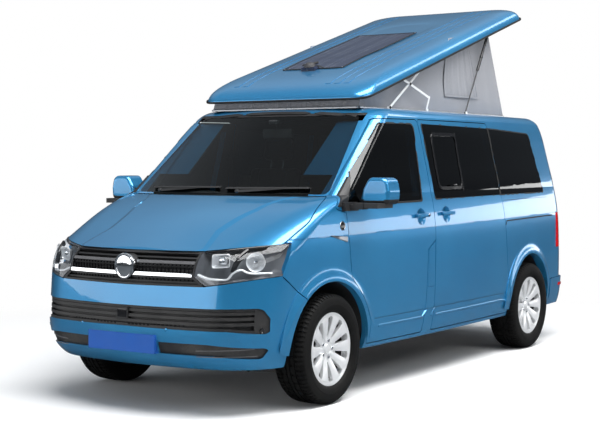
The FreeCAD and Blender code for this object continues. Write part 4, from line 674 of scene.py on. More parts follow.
def finish_node(name, rules, default):
    """Give a CAD node its materials. Rules: (material, test of a face's middle)."""
    mesh = NODES[name].data
    mesh.materials.clear()
    for material in [default] + [rule[0] for rule in rules]:
        mesh.materials.append(M[material])
    for polygon in mesh.polygons:
        polygon.material_index = 0
        for index, (_, test) in enumerate(rules):
            if test(polygon.center, polygon.normal):
                polygon.material_index = index + 1


def finish_nodes():
    """Every CAD node takes the material of its slot; finish_node later gives some a second finish."""
    for row in frame["record"]["subparts"]:
        node = NODES[row["node"]]
        node.data.materials.clear()
        node.data.materials.append(M[row["material_slot"]])


# ---------------------------------------------------------------------- wheels
TYRE_PROFILE = (                 # radius, place across from the tyre's middle
    (0.221, -0.0885), (0.224, -0.092), (0.229, -0.0965), (0.236, -0.1035),
    (0.239, -0.1075), (0.243, -0.1085), (0.245, -0.1105), (0.249, -0.1125),
    (0.268, -0.1165), (0.274, -0.1170), (0.275, -0.1180), (0.281, -0.1178),
    (0.282, -0.1168), (0.300, -0.1165), (0.315, -0.1130), (0.325, -0.1085),
    (0.3325, -0.1030), (0.3385, -0.0945), (0.3415, -0.0830), (0.3430, -0.0640),
    (0.3430, -0.0570), (0.3360, -0.0560), (0.3360, -0.0480), (0.3440, -0.0470),
    (0.3446, -0.0240), (0.3446, -0.0190), (0.3370, -0.0180), (0.3370, -0.0100),
    (0.3449, -0.0090), (0.3450, 0.0),
)
TREAD_PITCHES = 72
# Spoke face. Columns: distance from the hub, half width, rise of its middle.
SPOKE = ((0.050, 0.0095, 0.0015), (0.066, 0.0135, 0.0040), (0.085, 0.0175, 0.0052),
         (0.110, 0.0220, 0.0058), (0.140, 0.0275, 0.0058), (0.170, 0.0325, 0.0052),
         (0.192, 0.0360, 0.0040), (0.2035, 0.0385, 0.0018))
# Across the spoke: share of the half width, share of the rise.
SPOKE_SECTION = ((-1, -0.002), (-0.97, 0.25), (-0.55, 0.72), (-0.06, 1.0),
                 (0.06, 1.0), (0.55, 0.72), (0.97, 0.25), (1, -0.002))
SPOKES, BOLTS, BOLT_CIRCLE = 10, 5, 0.056


def wheel_centre(side, axle):
    return Vector((side * HALF_TRACK, axle, HUB))


def outward_at(turn):
    """Direction across the wheel at a share of a full turn from the top."""
    return Vector((0, math.sin(math.tau * turn), math.cos(math.tau * turn)))


def make_tyre(which, side, axle):
    """Tyre with grooves, shoulder blocks and sidewall ribs."""
    bm = bmesh.new()
    other = tuple((radius, -across) for radius, across in reversed(TYRE_PROFILE[:-1]))
    centre = wheel_centre(side, axle)
    turned(bm, TYRE_PROFILE + other, centre, (side, 0, 0), steps=TREAD_PITCHES * 2)
    bmesh.ops.remove_doubles(bm, verts=bm.verts, dist=1e-6)
    bmesh.ops.recalc_face_normals(bm, faces=bm.faces)
    slots = []
    for face in bm.faces:
        spot = face.calc_center_median() - centre
        radius, across = math.hypot(spot.y, spot.z), abs(spot.x)
        pitch = int((math.atan2(spot.z, spot.y) / math.tau % 1) * TREAD_PITCHES * 2)
        if radius > 0.327 and 0.058 < across < 0.106 and pitch % 2 == 0:
            slots.append(face)
        elif radius > 0.341 and 0.020 < across < 0.046 and pitch % 4 == 0:
            slots.append(face)
    bmesh.ops.inset_individual(bm, faces=slots, thickness=0.0010, depth=0.0)
    for face in slots:
        spot = face.calc_center_median() - centre
        inward = Vector((0, -spot.y, -spot.z)).normalized() * 0.0055
        bmesh.ops.translate(bm, vec=inward, verts=face.verts)
    # flat ring that closes the beads
    rims = [edge for edge in bm.edges if edge.is_boundary]
    bmesh.ops.bridge_loops(bm, edges=rims)
    piece("tyre_detail_" + which, bm, ["tyre"], "wheel_" + which,
          replaces=["tyre_" + which], sharp=28)


def make_spokes(which, side, axle):
    """Creased faces on the rim's spokes."""
    surface = surface_of("rim_" + which)
    centre = wheel_centre(side, axle)
    outside = Vector((side * 0.3, 0, 0))
    bm = bmesh.new()
    for spoke in range(SPOKES):
        out = outward_at((spoke + 0.5) / SPOKES)
        along = Vector((0, out.z, -out.y))
        rows = []
        for radius, half, lift in SPOKE:
            seat, _ = onto(surface, centre + out * radius + outside, (-side, 0, 0))
            base = seat.x - centre.x + side * 0.0004
            row = []
            for share, up in SPOKE_SECTION:
                spot = centre + out * radius + along * (half * share)
                spot.x = centre.x + base + side * lift * up
                row.append(bm.verts.new(spot))
            rows.append(ring(bm, row))
        span(bm, rows)
        cap(bm, rows)
    piece("spokes_" + which, bm, ["alloy"], "wheel_" + which, sharp=20)


def make_hub_parts(which, side, axle):
    """A blank cap, the rim's bright lip, bolts and a valve."""
    surface = surface_of("rim_" + which)
    centre = wheel_centre(side, axle)
    outside, out_x = Vector((side * 0.3, 0, 0)), Vector((side, 0, 0))
    bm = bmesh.new()
    face, _ = onto(surface, centre + outside, -out_x)
    hub_x = abs(face.x - centre.x)
    turned(bm, ((0, hub_x + 0.006), (0.020, hub_x + 0.0058), (0.0245, hub_x + 0.005),
                (0.0252, hub_x + 0.0038), (0.0270, hub_x + 0.0038),
                (0.0282, hub_x + 0.0065), (0.0310, hub_x + 0.0065),
                (0.0325, hub_x + 0.004), (0.0325, hub_x - 0.004)),
           centre, out_x, steps=40)
    lip = ((0.2125, 0.0935), (0.2150, 0.0975), (0.2190, 0.0975), (0.2204, 0.0945),
           (0.2190, 0.0915), (0.2150, 0.0905))
    turned(bm, lip, centre, out_x, steps=72, closed=True)
    for bolt in range(BOLTS):
        spot = centre + outward_at((bolt + 0.25) / BOLTS) * BOLT_CIRCLE
        seat, _ = onto(surface, spot + outside, -out_x)
        rod(bm, seat - out_x * 0.006, seat + out_x * 0.005, 0.0105, segments=6,
            material=1, round_off=0.001)
        rod(bm, seat, seat + out_x * 0.0022, 0.0135, material=1)
    out = outward_at(0.33)
    foot = centre + out * 0.196 + out_x * 0.072
    tip = centre + out * 0.178 + out_x * 0.088
    neck = foot.lerp(tip, 0.6)
    rod(bm, foot, neck, 0.005, 0.0042, segments=12, material=2)
    rod(bm, neck, tip, 0.0042, 0.0038, segments=12, material=2, round_off=0.0006)
    piece("hub_parts_" + which, bm, ["alloy", "chrome", "rubber"], "wheel_" + which,
          sharp=30)


def make_brake(which, side, axle):
    """Rear brake caliper over the disc; the front ones are on the knuckles."""
    centre = wheel_centre(side, axle)
    inner, reach, pads = -0.060, 0.128, 7
    size = Vector((0.011, 0.018, 0.018))
    bm = bmesh.new()
    for step in range(pads):
        angle = math.radians(-36 + 12 * step)
        mid = centre + Vector((side * inner, math.cos(angle) * reach,
                               math.sin(angle) * reach))
        block(bm, mid - size, mid + size, 0.004)
    piston = centre + Vector((side * (inner - 0.010), 0.126, 0))
    rod(bm, piston, piston - Vector((side * 0.026, 0, 0)), 0.027, segments=28,
        round_off=0.003)
    piece("brake_caliper_" + which, bm, ["cast_metal"], "body", sharp=35)


def make_wheels():
    for which, side, axle in WHEELS:
        make_tyre(which, side, axle)
        make_spokes(which, side, axle)
        make_hub_parts(which, side, axle)
        if which.startswith("rear"):
            make_brake(which, side, axle)

        def outwards(centre):
            return side * (centre.x - side * HALF_TRACK)

        def hub(centre, normal):
            return (outwards(centre) < -0.019
                    and math.hypot(centre.y - axle, centre.z - HUB) < 0.16)

        # Faces deep in the wheel (the barrel) and faces looking inward take the near-black underbody finish:
        # painted shade on what is alloy.
        def painted_shade_barrel(centre, normal):
            return outwards(centre) < 0.030 or side * normal.x < -0.2
        finish_node("rim_" + which, [("cast_metal", hub), ("underbody", painted_shade_barrel)], "alloy")


# ------------------------------------------------------------------ lifting roof
ROOF_FRONT = ROOF_PIVOT[0] + 0.195
ROOF_BACK = ROOF_FRONT + 2.679
ROOF_HALF, ROOF_RIM = 0.700, 1.877
RAISE = (Matrix.Translation((0, *ROOF_PIVOT)) @ Matrix.Rotation(ROOF_TILT, 4, "X")
         @ Matrix.Translation((0, -ROOF_PIVOT[0], -ROOF_PIVOT[1])))
CANVAS_FOOT = 1.869
CANVAS_HALF = 0.6205                    # half the canvas's width


def rectangle(half, front, back, corner, steps):
    """A closed plan outline across the van, with round corners."""
    return rounded_path(((-half, front, corner), (half, front, corner),
                         (half, back, corner), (-half, back, corner)), steps)


def make_roof_seal():
    """Black rubber along the moulding's lower edge."""
    bm = bmesh.new()
    loop = rectangle(ROOF_HALF, ROOF_FRONT, ROOF_BACK, 0.115, 10)
    sweep(bm, [(p.x, p.y, ROOF_RIM) for p in loop],
          ((-0.010, -0.002), (-0.003, -0.005), (0.003, -0.004), (0.0045, 0.002),
           (0.0035, 0.010), (0.0005, 0.011), (-0.0005, 0.0), (-0.010, 0.0)), closed=True)
    bmesh.ops.transform(bm, matrix=RAISE, verts=bm.verts)
    piece("roof_edge_seal", bm, ["rubber"], "pop_roof")


def make_solar_parts():
    """Black border and screws of the solar panel, its cable gland and cable."""
    surface = surface_of("solar_panel")
    raised = RAISE.to_3x3()
    up = raised @ Vector((0, 0, 1))

    def on_panel(x, y, lift=0.0):
        place, _ = onto(surface, RAISE @ Vector((x, y, ROOF_RIM + 0.30)), -up)
        return place + up * lift
    bm = bmesh.new()
    x0, x1, y0, y1 = -0.298, 0.218, ROOF_FRONT + 0.522, ROOF_FRONT + 1.678
    corners = ((x0, y0), (x1, y0), (x1, y1), (x0, y1))
    path = []
    for (xa, ya), (xb, yb) in zip(corners, corners[1:] + corners[:1]):
        for k in range(10):
            t = (k + (0.08 if k == 0 else 0)) / 10
            path.append(on_panel(xa + (xb - xa) * t, ya + (yb - ya) * t, -0.0004))
    sweep(bm, path, bar(0.018, 0.0022), closed=True, ups=[up] * len(path))
    for x, y in corners:
        spot = on_panel(x * 0.97, y + (0.008 if y < 0 else -0.008), 0.001)
        rod(bm, spot, spot + up * 0.0025, 0.005, segments=14, material=1, round_off=0.0006)
    piece("solar_border", bm, ["gloss_black", "satin_metal"], "pop_roof")

    bm = bmesh.new()
    base = on_panel(-0.045, ROOF_FRONT + 0.500)
    turned(bm, ((0, 0.030), (0.020, 0.029), (0.032, 0.022), (0.040, 0.008), (0.044, 0.0),
                (0, 0.0)), base + up * 0.001, up, steps=28)
    spout = base + up * 0.013
    rod(bm, spout, spout + raised @ Vector((0.030, 0.075, 0)), 0.009, segments=14,
        material=1, round_off=0.002)
    cable = [base + up * 0.012 + raised @ Vector(v) for v in
             ((-0.02, 0.0, 0.0), (-0.055, 0.004, -0.002), (-0.075, 0.020, -0.005),
              (-0.078, 0.050, -0.004))]
    sweep(bm, smooth_path(cable, 5), circle(0.0035), material=1)
    for step in range(4):
        angle = math.tau * (step + 0.5) / 4
        spot = base + raised @ Vector((0.036 * math.cos(angle), 0.036 * math.sin(angle), 0))
        rod(bm, spot + up * 0.006, spot + up * 0.014, 0.004, segments=10, material=2)
    piece("cable_gland", bm, ["trim_plastic", "rubber", "steel"], "pop_roof")


def canvas_loop(count_side, count_end):
    """Places all round the canvas. Rows: (across, share along, outward direction,
    share of this wall, wall: 0 front, 1 left, 2 rear, 3 right)."""
    corners = [(-CANVAS_HALF, 0), (CANVAS_HALF, 0), (CANVAS_HALF, 1), (-CANVAS_HALF, 1)]
    rows = []
    for wall, ((xa, ya), (xb, yb)) in enumerate(zip(corners, corners[1:] + corners[:1])):
        count = count_end if wall % 2 == 0 else count_side
        out = ((0, -1, 0), (1, 0, 0), (0, 1, 0), (-1, 0, 0))[wall]
        for k in range(count):
            t = k / count
            rows.append((xa + (xb - xa) * t, ya + (yb - ya) * t, Vector(out), t, wall))
    return rows


def slackened(spot, along, out, t, wall, rise):
    """Moves a point of the stretched canvas to where its folds and hollows put it."""
    slack = math.sin(math.pi * rise) ** 0.6
    edge = min(1.0, min(t, 1 - t) * 9)
    if wall == 0:            # gathered front
        fold = (math.sin(t * 167) + 0.6 * math.sin(t * 271 + 1.3)
                + 0.4 * math.sin(t * 97 + rise * 2))
        spot += out * (0.0032 * fold * edge * (0.35 + 0.65 * slack) - 0.004 * slack)
    elif wall == 2:          # the rear wall hollows between its corners
        spot += out * (-0.030 * slack * math.sin(math.pi * t)
                       + 0.0035 * math.sin(t * 31 + rise * 3) * slack * edge)
    else:                    # sides: gathered ahead, slack towards the rear
        front = max(0.0, 1 - along / 0.16)
        rear = max(0.0, (along - 0.55) / 0.45)
        fold = (front * 0.0050 * math.sin(along * 190 + rise * 2)
                + rear * 0.0030 * math.sin(along * 74 - rise * 4.0)
                + 0.0022 * math.sin(along * 23 + rise * 5))
        spot += out * ((fold - 0.0030) * slack * edge)
        spot.y += -0.020 * slack * rear ** 3
    return spot


def make_canvas():
    """The roof's canvas: stretched walls, with its hem, window flaps and seams."""
    bm = bmesh.new()
    foot_front, foot_back = FRONT_AXLE + 0.802, REAR_AXLE + 0.106
    head_front = RAISE @ Vector((0, ROOF_FRONT + 0.062, ROOF_RIM + 0.002))
    head_back = RAISE @ Vector((0, ROOF_BACK - 0.562, ROOF_RIM + 0.006))
    levels = 26
    loops = []
    rows = canvas_loop(150, 96)
    for level in range(levels + 1):
        rise = level / levels
        verts = []
        for x, along, out, t, wall in rows:
            foot = Vector((x, foot_front + (foot_back - foot_front) * along, CANVAS_FOOT))
            head = Vector((x, head_front.y + (head_back.y - head_front.y) * along,
                           head_front.z + (head_back.z - head_front.z) * along))
            verts.append(bm.verts.new(
                slackened(foot.lerp(head, rise), along, out, t, wall, rise)))
        loops.append(ring(bm, verts))
    span(bm, loops)
    made = piece("canvas_walls", bm, ["canvas"], "body",
                 replaces=["roof_canvas"], sharp=60)
    sewn = make_canvas_window(1) + make_canvas_window(-1) + [make_canvas_hem()]
    for cloth in [made] + sewn:
        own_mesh(cloth)


def make_canvas_hem():
    """Piping along the canvas's foot, where it is clamped to the roof."""
    bm = bmesh.new()
    loop = rectangle(CANVAS_HALF + 0.0055, FRONT_AXLE + 0.797, REAR_AXLE + 0.111, 0.02, 4)
    sweep(bm, [(p.x, p.y, CANVAS_FOOT + 0.006) for p in loop],
          ((-0.004, -0.006), (0.004, -0.006), (0.005, 0.004), (0.0, 0.008), (-0.005, 0.004)),
          closed=True)
    return piece("canvas_hem", bm, ["satin_metal"], "body")


# Window flap: its front and rear edges from the top down, as (along, up).
FLAP_FRONT = ((0.576, 2.435), (0.540, 2.320), (0.505, 2.134), (0.518, 2.004))
FLAP_REAR = ((0.830, 2.470), (0.925, 2.370), (1.010, 2.170), (1.073, 2.008))
FLAP_SEAT = CANVAS_HALF + 0.0040


def make_canvas_window(side):
    """A rolled-down window flap with loose folds, sewn round its edge."""
    bm = bmesh.new()
    left = smooth_path([(0, y, z) for y, z in FLAP_FRONT], 10)
    right = smooth_path([(0, y, z) for y, z in FLAP_REAR], 10)
    loops = []
    for row, (a, b) in enumerate(zip(left, right)):
        down = row / (len(left) - 1)
        verts = []
        for k in range(61):
            t = k / 60
            edge = min(1.0, min(t, 1 - t) * 10, (1.02 - down) * 8, down * 12 + 0.1)
            fold = (math.sin(t * 34 + 0.8 * math.sin(down * 3)) * (0.25 + 0.75 * t)
                    + 0.5 * math.sin(t * 61 + down) * t
                    + 0.7 * math.sin(down * 9 + t * 6) * (1 - t))
            spot = a.lerp(b, t)
            spot.x = side * (FLAP_SEAT + 0.0042 * (1 + fold * 0.55) * edge)
            verts.append(bm.verts.new(spot))
        loops.append([bm.edges.new(p) for p in zip(verts, verts[1:])])
    span(bm, loops)
    bmesh.ops.recalc_face_normals(bm, faces=bm.faces)
    tag = "left" if side > 0 else "right"
    flap = piece("canvas_flap_" + tag, bm, ["canvas"], "body", sharp=70,
                 outward=False)
    bm = bmesh.new()
    border = [(side * FLAP_SEAT, p.y, p.z) for p in left + right[::-1]]
    sweep(bm, border, bar(0.013, 0.0032), closed=True, ups=[(side, 0, 0)] * len(border))
    seam = piece("canvas_seam_" + tag, bm, ["canvas"], "body")
    return [flap, seam]


def make_lift_parts():
    """Black pivot caps on the lifting gear, and the struts' collars."""
    joints = {row["name"]: row for row in frame["joints"]}
    caps = (("arm_swing", "lift_arms", 0.6545), ("brace_swing", "lift_braces", 0.6645),
            ("link_swing", "lift_links", 0.6745))
    for name, body, x in caps:
        _, y, z = joints[name]["pos_m"]
        bm = bmesh.new()
        for side in (1, -1):
            turned(bm, ((0, 0.0062), (0.006, 0.0060), (0.0098, 0.0045), (0.0108, 0.002),
                        (0.0108, 0.0), (0, 0.0)), (side * (x + 0.0025), y, z),
                   (side, 0, 0), steps=24)
        piece(body + "_caps", bm, ["rubber"], body)
    bm = bmesh.new()
    _, y, z = joints["strut_swing"]["pos_m"]
    slope = Vector(joints["strut_slide"]["axis"])
    head = Vector((0.655, y, z))
    for side in (1, -1):
        end = head - slope * 0.30
        start = Vector((side * end.x, end.y, end.z))
        turned(bm, ((0.0115, 0.0), (0.0135, 0.002), (0.0135, 0.014), (0.0115, 0.016)),
               start, slope, steps=24)
    piece("strut_collars", bm, ["strut_black"], "strut_barrels")


def make_roof():
    make_roof_seal()
    make_solar_parts()
    make_canvas()
    make_lift_parts()


# ------------------------------------------------------------------- front of the van
SENSOR = ((0, 0.0022), (0.008, 0.0020), (0.010, 0.0008), (0.0105, -0.001), (0, -0.001))
PLATE_MIDDLE, PLATE_FACE = 0.4295, -2.4556
INNER_LAMP, OUTER_LAMP = (0.612, 0.924), (0.775, 0.918)     # across, up


def node_mesh(name):
    """A CAD node as a merged bmesh, to cut a piece from."""
    bm = bmesh.new()
    node = bpy.data.objects[name]
    bm.from_mesh(node.data)
    bmesh.ops.transform(bm, matrix=node.matrix_world, verts=bm.verts)
    bmesh.ops.remove_doubles(bm, verts=bm.verts, dist=0.00005)
    bm.normal_update()
    return bm


def on_lens(face):
    """True for the faces of a headlamp that look out of the van."""
    side = 1 if face.calc_center_median().x > 0 else -1
    return face.normal.dot(Vector((0.45 * side, -0.85, 0.18)).normalized()) > 0.45


def make_lamp_shells():
    """Clear lens shells and the dark bowls behind them."""
    lens = node_mesh("headlamps")
    bmesh.ops.delete(lens, geom=[f for f in lens.faces if not on_lens(f)], context="FACES")
    bowl = node_mesh("headlamps")
    bmesh.ops.delete(bowl, geom=[f for f in bowl.faces if on_lens(f)], context="FACES")
    for vert in bowl.verts:
        if vert.is_boundary:
            vert.co += Vector((0, 0.004, 0))
    for name, bm, wall, finish in (("headlamp_lenses", lens, 0.0025, "lens"),
                                   ("headlamp_bowls", bowl, 0.002, "lamp_grey")):
        bmesh.ops.solidify(bm, geom=bm.faces[:], thickness=wall)
        bmesh.ops.recalc_face_normals(bm, faces=bm.faces)
        piece(name, bm, [finish], "body", replaces=["headlamps"], outward=False)


def make_lamp_units():
    """Chrome reflectors, a bright foot strip and dark vanes inside each headlamp."""
    skin = surface_of("headlamps")

    def inside(x, z, depth):
        spot, _ = from_front(skin, x, z)
        return spot + Vector((0, depth, 0))

    def fitted(points, depth, outline, material=0):
        run = [inside(x, z, depth) for x, z in points]
        sweep(bm, smooth_path(run), outline, material=material)

    bm = bmesh.new()
    # inner unit: a square bowl round a projector lens
    middle = inside(*INNER_LAMP, 0.040)
    rings = []
    for grow, back in ((1.0, -0.012), (0.93, -0.016), (0.86, -0.010), (0.70, 0.018),
                       (0.52, 0.026)):
        corners = rounded_path(((-0.050 * grow, -0.044 * grow, 0.016),
                                (0.056 * grow, -0.036 * grow, 0.016),
                                (0.060 * grow, 0.046 * grow, 0.016),
                                (-0.048 * grow, 0.040 * grow, 0.016)))
        rings.append(ring(bm, [bm.verts.new((middle.x + p.x, middle.y + back + 0.35 * p.x,
                                             middle.z + p.y)) for p in corners]))
    span(bm, rings)
    turned(bm, ((0, -0.016), (0.012, -0.014), (0.021, -0.006), (0.024, 0.004),
                (0.024, 0.020), (0, 0.020)), middle + Vector((0, 0.006, 0)), (0, 1, 0),
           steps=32, material=1)
    # outer unit: a round reflector with ribs and a shielded bulb
    outer = inside(*OUTER_LAMP, 0.058)
    axis = Vector((0.50, -0.86, 0.05)).normalized()
    turned(bm, ((0.057, 0.020), (0.052, 0.016), (0.044, -0.004), (0.032, -0.018),
                (0.016, -0.027), (0.0, -0.029)), outer, axis, steps=40)
    turned(bm, ((0, 0.016), (0.011, 0.012), (0.013, 0.0), (0.012, -0.028), (0, -0.028)),
           outer, axis, steps=24, material=1)
    side = axis.orthogonal().normalized()
    up = axis.cross(side)
    for k in range(10):
        angle = math.tau * k / 10
        out = side * math.cos(angle) + up * math.sin(angle)
        rod(bm, outer + out * 0.018 - axis * 0.024, outer + out * 0.045, 0.0022, segments=6)
    # bright strip along the foot, the vane between the units, and a dark upper edge
    fitted(((0.503, 0.842), (0.560, 0.822), (0.620, 0.816), (0.676, 0.818),
            (0.700, 0.852), (0.735, 0.872), (0.775, 0.852), (0.850, 0.850)),
           0.020, bar(0.024, 0.010))
    fitted(((0.700, 0.856), (0.708, 0.900), (0.720, 0.940), (0.738, 0.972)),
           0.030, bar(0.020, 0.030), material=2)
    fitted(((0.510, 0.962), (0.600, 0.974), (0.700, 0.988), (0.800, 1.000), (0.865, 1.006)),
           0.016, bar(0.010, 0.012), material=2)
    mirror_half(bm)
    piece("headlamp_reflectors", bm, ["alloy", "chrome", "gloss_black"], "body",
          replaces=["headlamps"])


def make_grille():
    """Fine vertical ribs behind the bars, and a domed blank badge."""
    bm = bmesh.new()
    for k in range(15):
        x = 0.100 + k * 0.0265
        bow = 0.22 * x * x
        for low, high in ((0.806, 0.820), (0.854, 0.886), (0.894, 0.904)):
            block(bm, (x - 0.0022, -2.4100 + bow, low), (x + 0.0022, -2.4000 + bow, high))
    mirror_half(bm)
    piece("grille_ribs", bm, ["gloss_black"], "body")
    bm = bmesh.new()
    turned(bm, ((0, -0.0100), (0.030, -0.0088), (0.052, -0.0060), (0.060, -0.0030),
                (0.0625, -0.0030), (0.066, -0.0078), (0.071, -0.0082), (0.0755, -0.0050),
                (0.0765, 0.0), (0, 0.0)), (0, -2.4200, 0.882), (0, 1, 0), steps=72)
    piece("badge_dome", bm, ["chrome"], "body")


def make_bumper_parts():
    """Lines on the bumper's corners, parking sensors, tow-eye ring and air slots."""
    skin = surface_of("front_bumper", "bumper_grille")
    bm = bmesh.new()
    for z, climb in ((0.400, 0.010), (0.366, 0)):
        run = []
        for k in range(24):
            spot, normal = from_front(skin, 0.505 + k * 0.0125, z + climb * k / 23)
            run.append(spot + normal * 0.0010)
        sweep(bm, run, bar(0.004, 0.006))
    for x, z in ((0.330, 0.520), (0.750, 0.470)):
        turned(bm, SENSOR, *from_front(skin, x, z), steps=24, material=1)
    spot, normal = from_front(skin, 0.829, 0.520)
    turned(bm, ((0, -0.002), (0.010, -0.001), (0.013, 0.002), (0.016, 0.0025),
                (0.017, 0.0), (0, -0.003)), spot + normal * 0.001, normal, steps=28,
           material=2)
    mirror_half(bm)
    piece("bumper_details", bm, ["trim_grey", "body_paint", "gloss_black"], "body")
    bm = bmesh.new()
    slot = Vector((0.009, 0.0006, 0.0045))
    for k in range(31):
        x = -0.420 + k * 0.028
        if abs(x) < 0.055:
            continue
        spot, normal = from_front(skin, x, 0.5400 + 0.035 * x * x)
        spot += normal * 0.0002
        block(bm, spot - slot, spot + slot)
    spot, _ = from_front(skin, 0.0, 0.603)
    block(bm, spot - Vector((0.036, 0.0015, 0.026)), spot + Vector((0.036, 0.001, 0.026)),
          0.004, 0, 3)
    piece("bumper_slots", bm, ["gloss_black"], "body")


def make_plates():
    """The two blank plates, each on the body that carries it, and the front one's rim."""
    for name, body, end in (("plate_front", "body", -1), ("plate_rear", "tailgate", 1)):
        bm = node_mesh("number_plates")
        bmesh.ops.delete(bm, geom=[v for v in bm.verts if v.co.y * end < 0], context="VERTS")
        piece(name, bm, ["plate"], body, replaces=["number_plates"])
    bm = bmesh.new()
    loop = rectangle(0.257, -0.0525, 0.0525, 0.008, 6)
    sweep(bm, [(p.x, PLATE_FACE, PLATE_MIDDLE + p.y) for p in loop], bar(0.003, 0.0012),
          closed=True, ups=[(0, -1, 0)] * len(loop))
    piece("plate_rim_front", bm, ["plate"], "body")


def make_screen_parts():
    """Caps of the wiper pivots, and the mirror inside the screen."""
    skin = surface_of("windscreen", "screen_trim")
    bm = bmesh.new()
    for x in (-0.552, 0.128):
        turned(bm, ((0, 0.012), (0.010, 0.011), (0.014, 0.006), (0.015, -0.004),
                    (0, -0.004)), *from_front(skin, x, 1.312), steps=24)
    piece("wiper_pivots", bm, ["black_plastic"], "body")
    bm = bmesh.new()
    mount, _ = from_front(skin, 0, 1.772)
    y = mount.y + 0.075
    block(bm, (-0.125, y, 1.665), (0.125, y + 0.022, 1.735), 0.016, 0, 4)
    block(bm, (-0.118, y + 0.0215, 1.672), (0.118, y + 0.0235, 1.728), 0.0006, 1, 1)
    rod(bm, (0, y + 0.015, 1.725), (0, y - 0.010, 1.775), 0.008, segments=14)
    block(bm, (-0.035, mount.y + 0.020, 1.762), (0.035, y + 0.010, 1.795), 0.010, 0, 3)
    piece("inside_mirror", bm, ["trim_plastic", "chrome"], "body")


def make_front():
    make_lamp_shells()
    make_lamp_units()
    make_grille()
    make_bumper_parts()
    make_plates()
    make_screen_parts()


# ------------------------------------------------------------- sides and tail
DOOR_GLASS = ((FRONT_AXLE + 0.205, 1.228, 0.012), (FRONT_AXLE + 1.160, 1.236, 0.018),
              (FRONT_AXLE + 1.205, 1.768, 0.045), (FRONT_AXLE + 0.775, 1.766, 0.060),
              (FRONT_AXLE + 0.365, 1.440, 0.010))
SLIDING_GLASS = ((FRONT_AXLE + 1.352, 1.243, 0.025), (REAR_AXLE - 0.549, 1.250, 0.006),
                 (REAR_AXLE - 0.593, 1.760, 0.006), (FRONT_AXLE + 1.320, 1.772, 0.025))
QUARTER_GLASS = ((REAR_AXLE - 0.537, 1.250, 0.006), (REAR_AXLE + 0.386, 1.252, 0.030),
                 (REAR_AXLE + 0.238, 1.732, 0.050), (REAR_AXLE - 0.580, 1.760, 0.006))
TAILGATE_GLASS = ((-0.700, 1.215, 0.040), (0.700, 1.215, 0.040),
                  (0.610, 1.720, 0.060), (-0.610, 1.720, 0.060))
OPENING_PANE = ((-0.105, 1.318, 0.050), (0.268, 1.318, 0.050), (0.268, 1.700, 0.050),
                (-0.105, 1.700, 0.050))


STRIP_STEP = 0.030                     # longest stretch of a strip laid on a surface
RIB_Z = 0.432
MIRROR_FACE = FRONT_AXLE + 0.4300
CAB_DOORS = ((1, "door_left"), (-1, "door_right"))


def trace(bm, view, skin, corners, outline, lift):
    """Lay a strip on a surface, round a closed outline as one of the views sees it."""
    loop = rounded_path(corners)
    points = []
    for here, ahead in zip(loop, loop[1:] + loop[:1]):
        count = max(1, int((ahead - here).length / STRIP_STEP))
        points += [here.lerp(ahead, k / count) for k in range(count)]
    lay(bm, view, skin, points, outline, lift, closed=True)


def run_on(bm, skin, points, outline, lift=0.0):
    """Lay a strip on the left side along an open run of (y, z) points."""
    run = []
    for (ya, za), (yb, zb) in zip(points, points[1:]):
        count = max(1, int(math.hypot(yb - ya, zb - za) / STRIP_STEP))
        for k in range(count + (1 if (yb, zb) == points[-1] else 0)):
            t = k / count
            run.append((ya + (yb - ya) * t, za + (zb - za) * t))
    lay(bm, from_left, skin, run, outline, lift)


def make_window_seals():
    """Rubber round every side window, and the frame of the pane that opens."""
    for side, door in CAB_DOORS:
        bm = bmesh.new()
        trace(bm, from_left, surface_of("door_left", "door_left_glass"), DOOR_GLASS,
              bar(0.012, 0.0035), -0.0006)
        if side < 0:
            flip(bm)
        piece(door + "_glass_seal", bm, ["rubber"], door)
    bm = bmesh.new()
    skin = surface_of("side_glass", "side_left", "sliding_door")
    for outline in (SLIDING_GLASS, QUARTER_GLASS):
        trace(bm, from_left, skin, outline, bar(0.010, 0.003), -0.0006)
    piece("side_glass_seals", bm, ["rubber"], "body", both_sides=True)
    bm = bmesh.new()
    panes = surface_of("side_glass")
    trace(bm, from_left, panes, OPENING_PANE, bar(0.022, 0.006), -0.0008)
    run_on(bm, panes, ((0.268, 1.300), (0.268, 1.715)), bar(0.016, 0.005), -0.0008)
    block(bm, (0.925, 0.070, 1.330), (0.934, 0.120, 1.348), 0.003)
    piece("opening_pane_frame", bm, ["gloss_black"], "body")


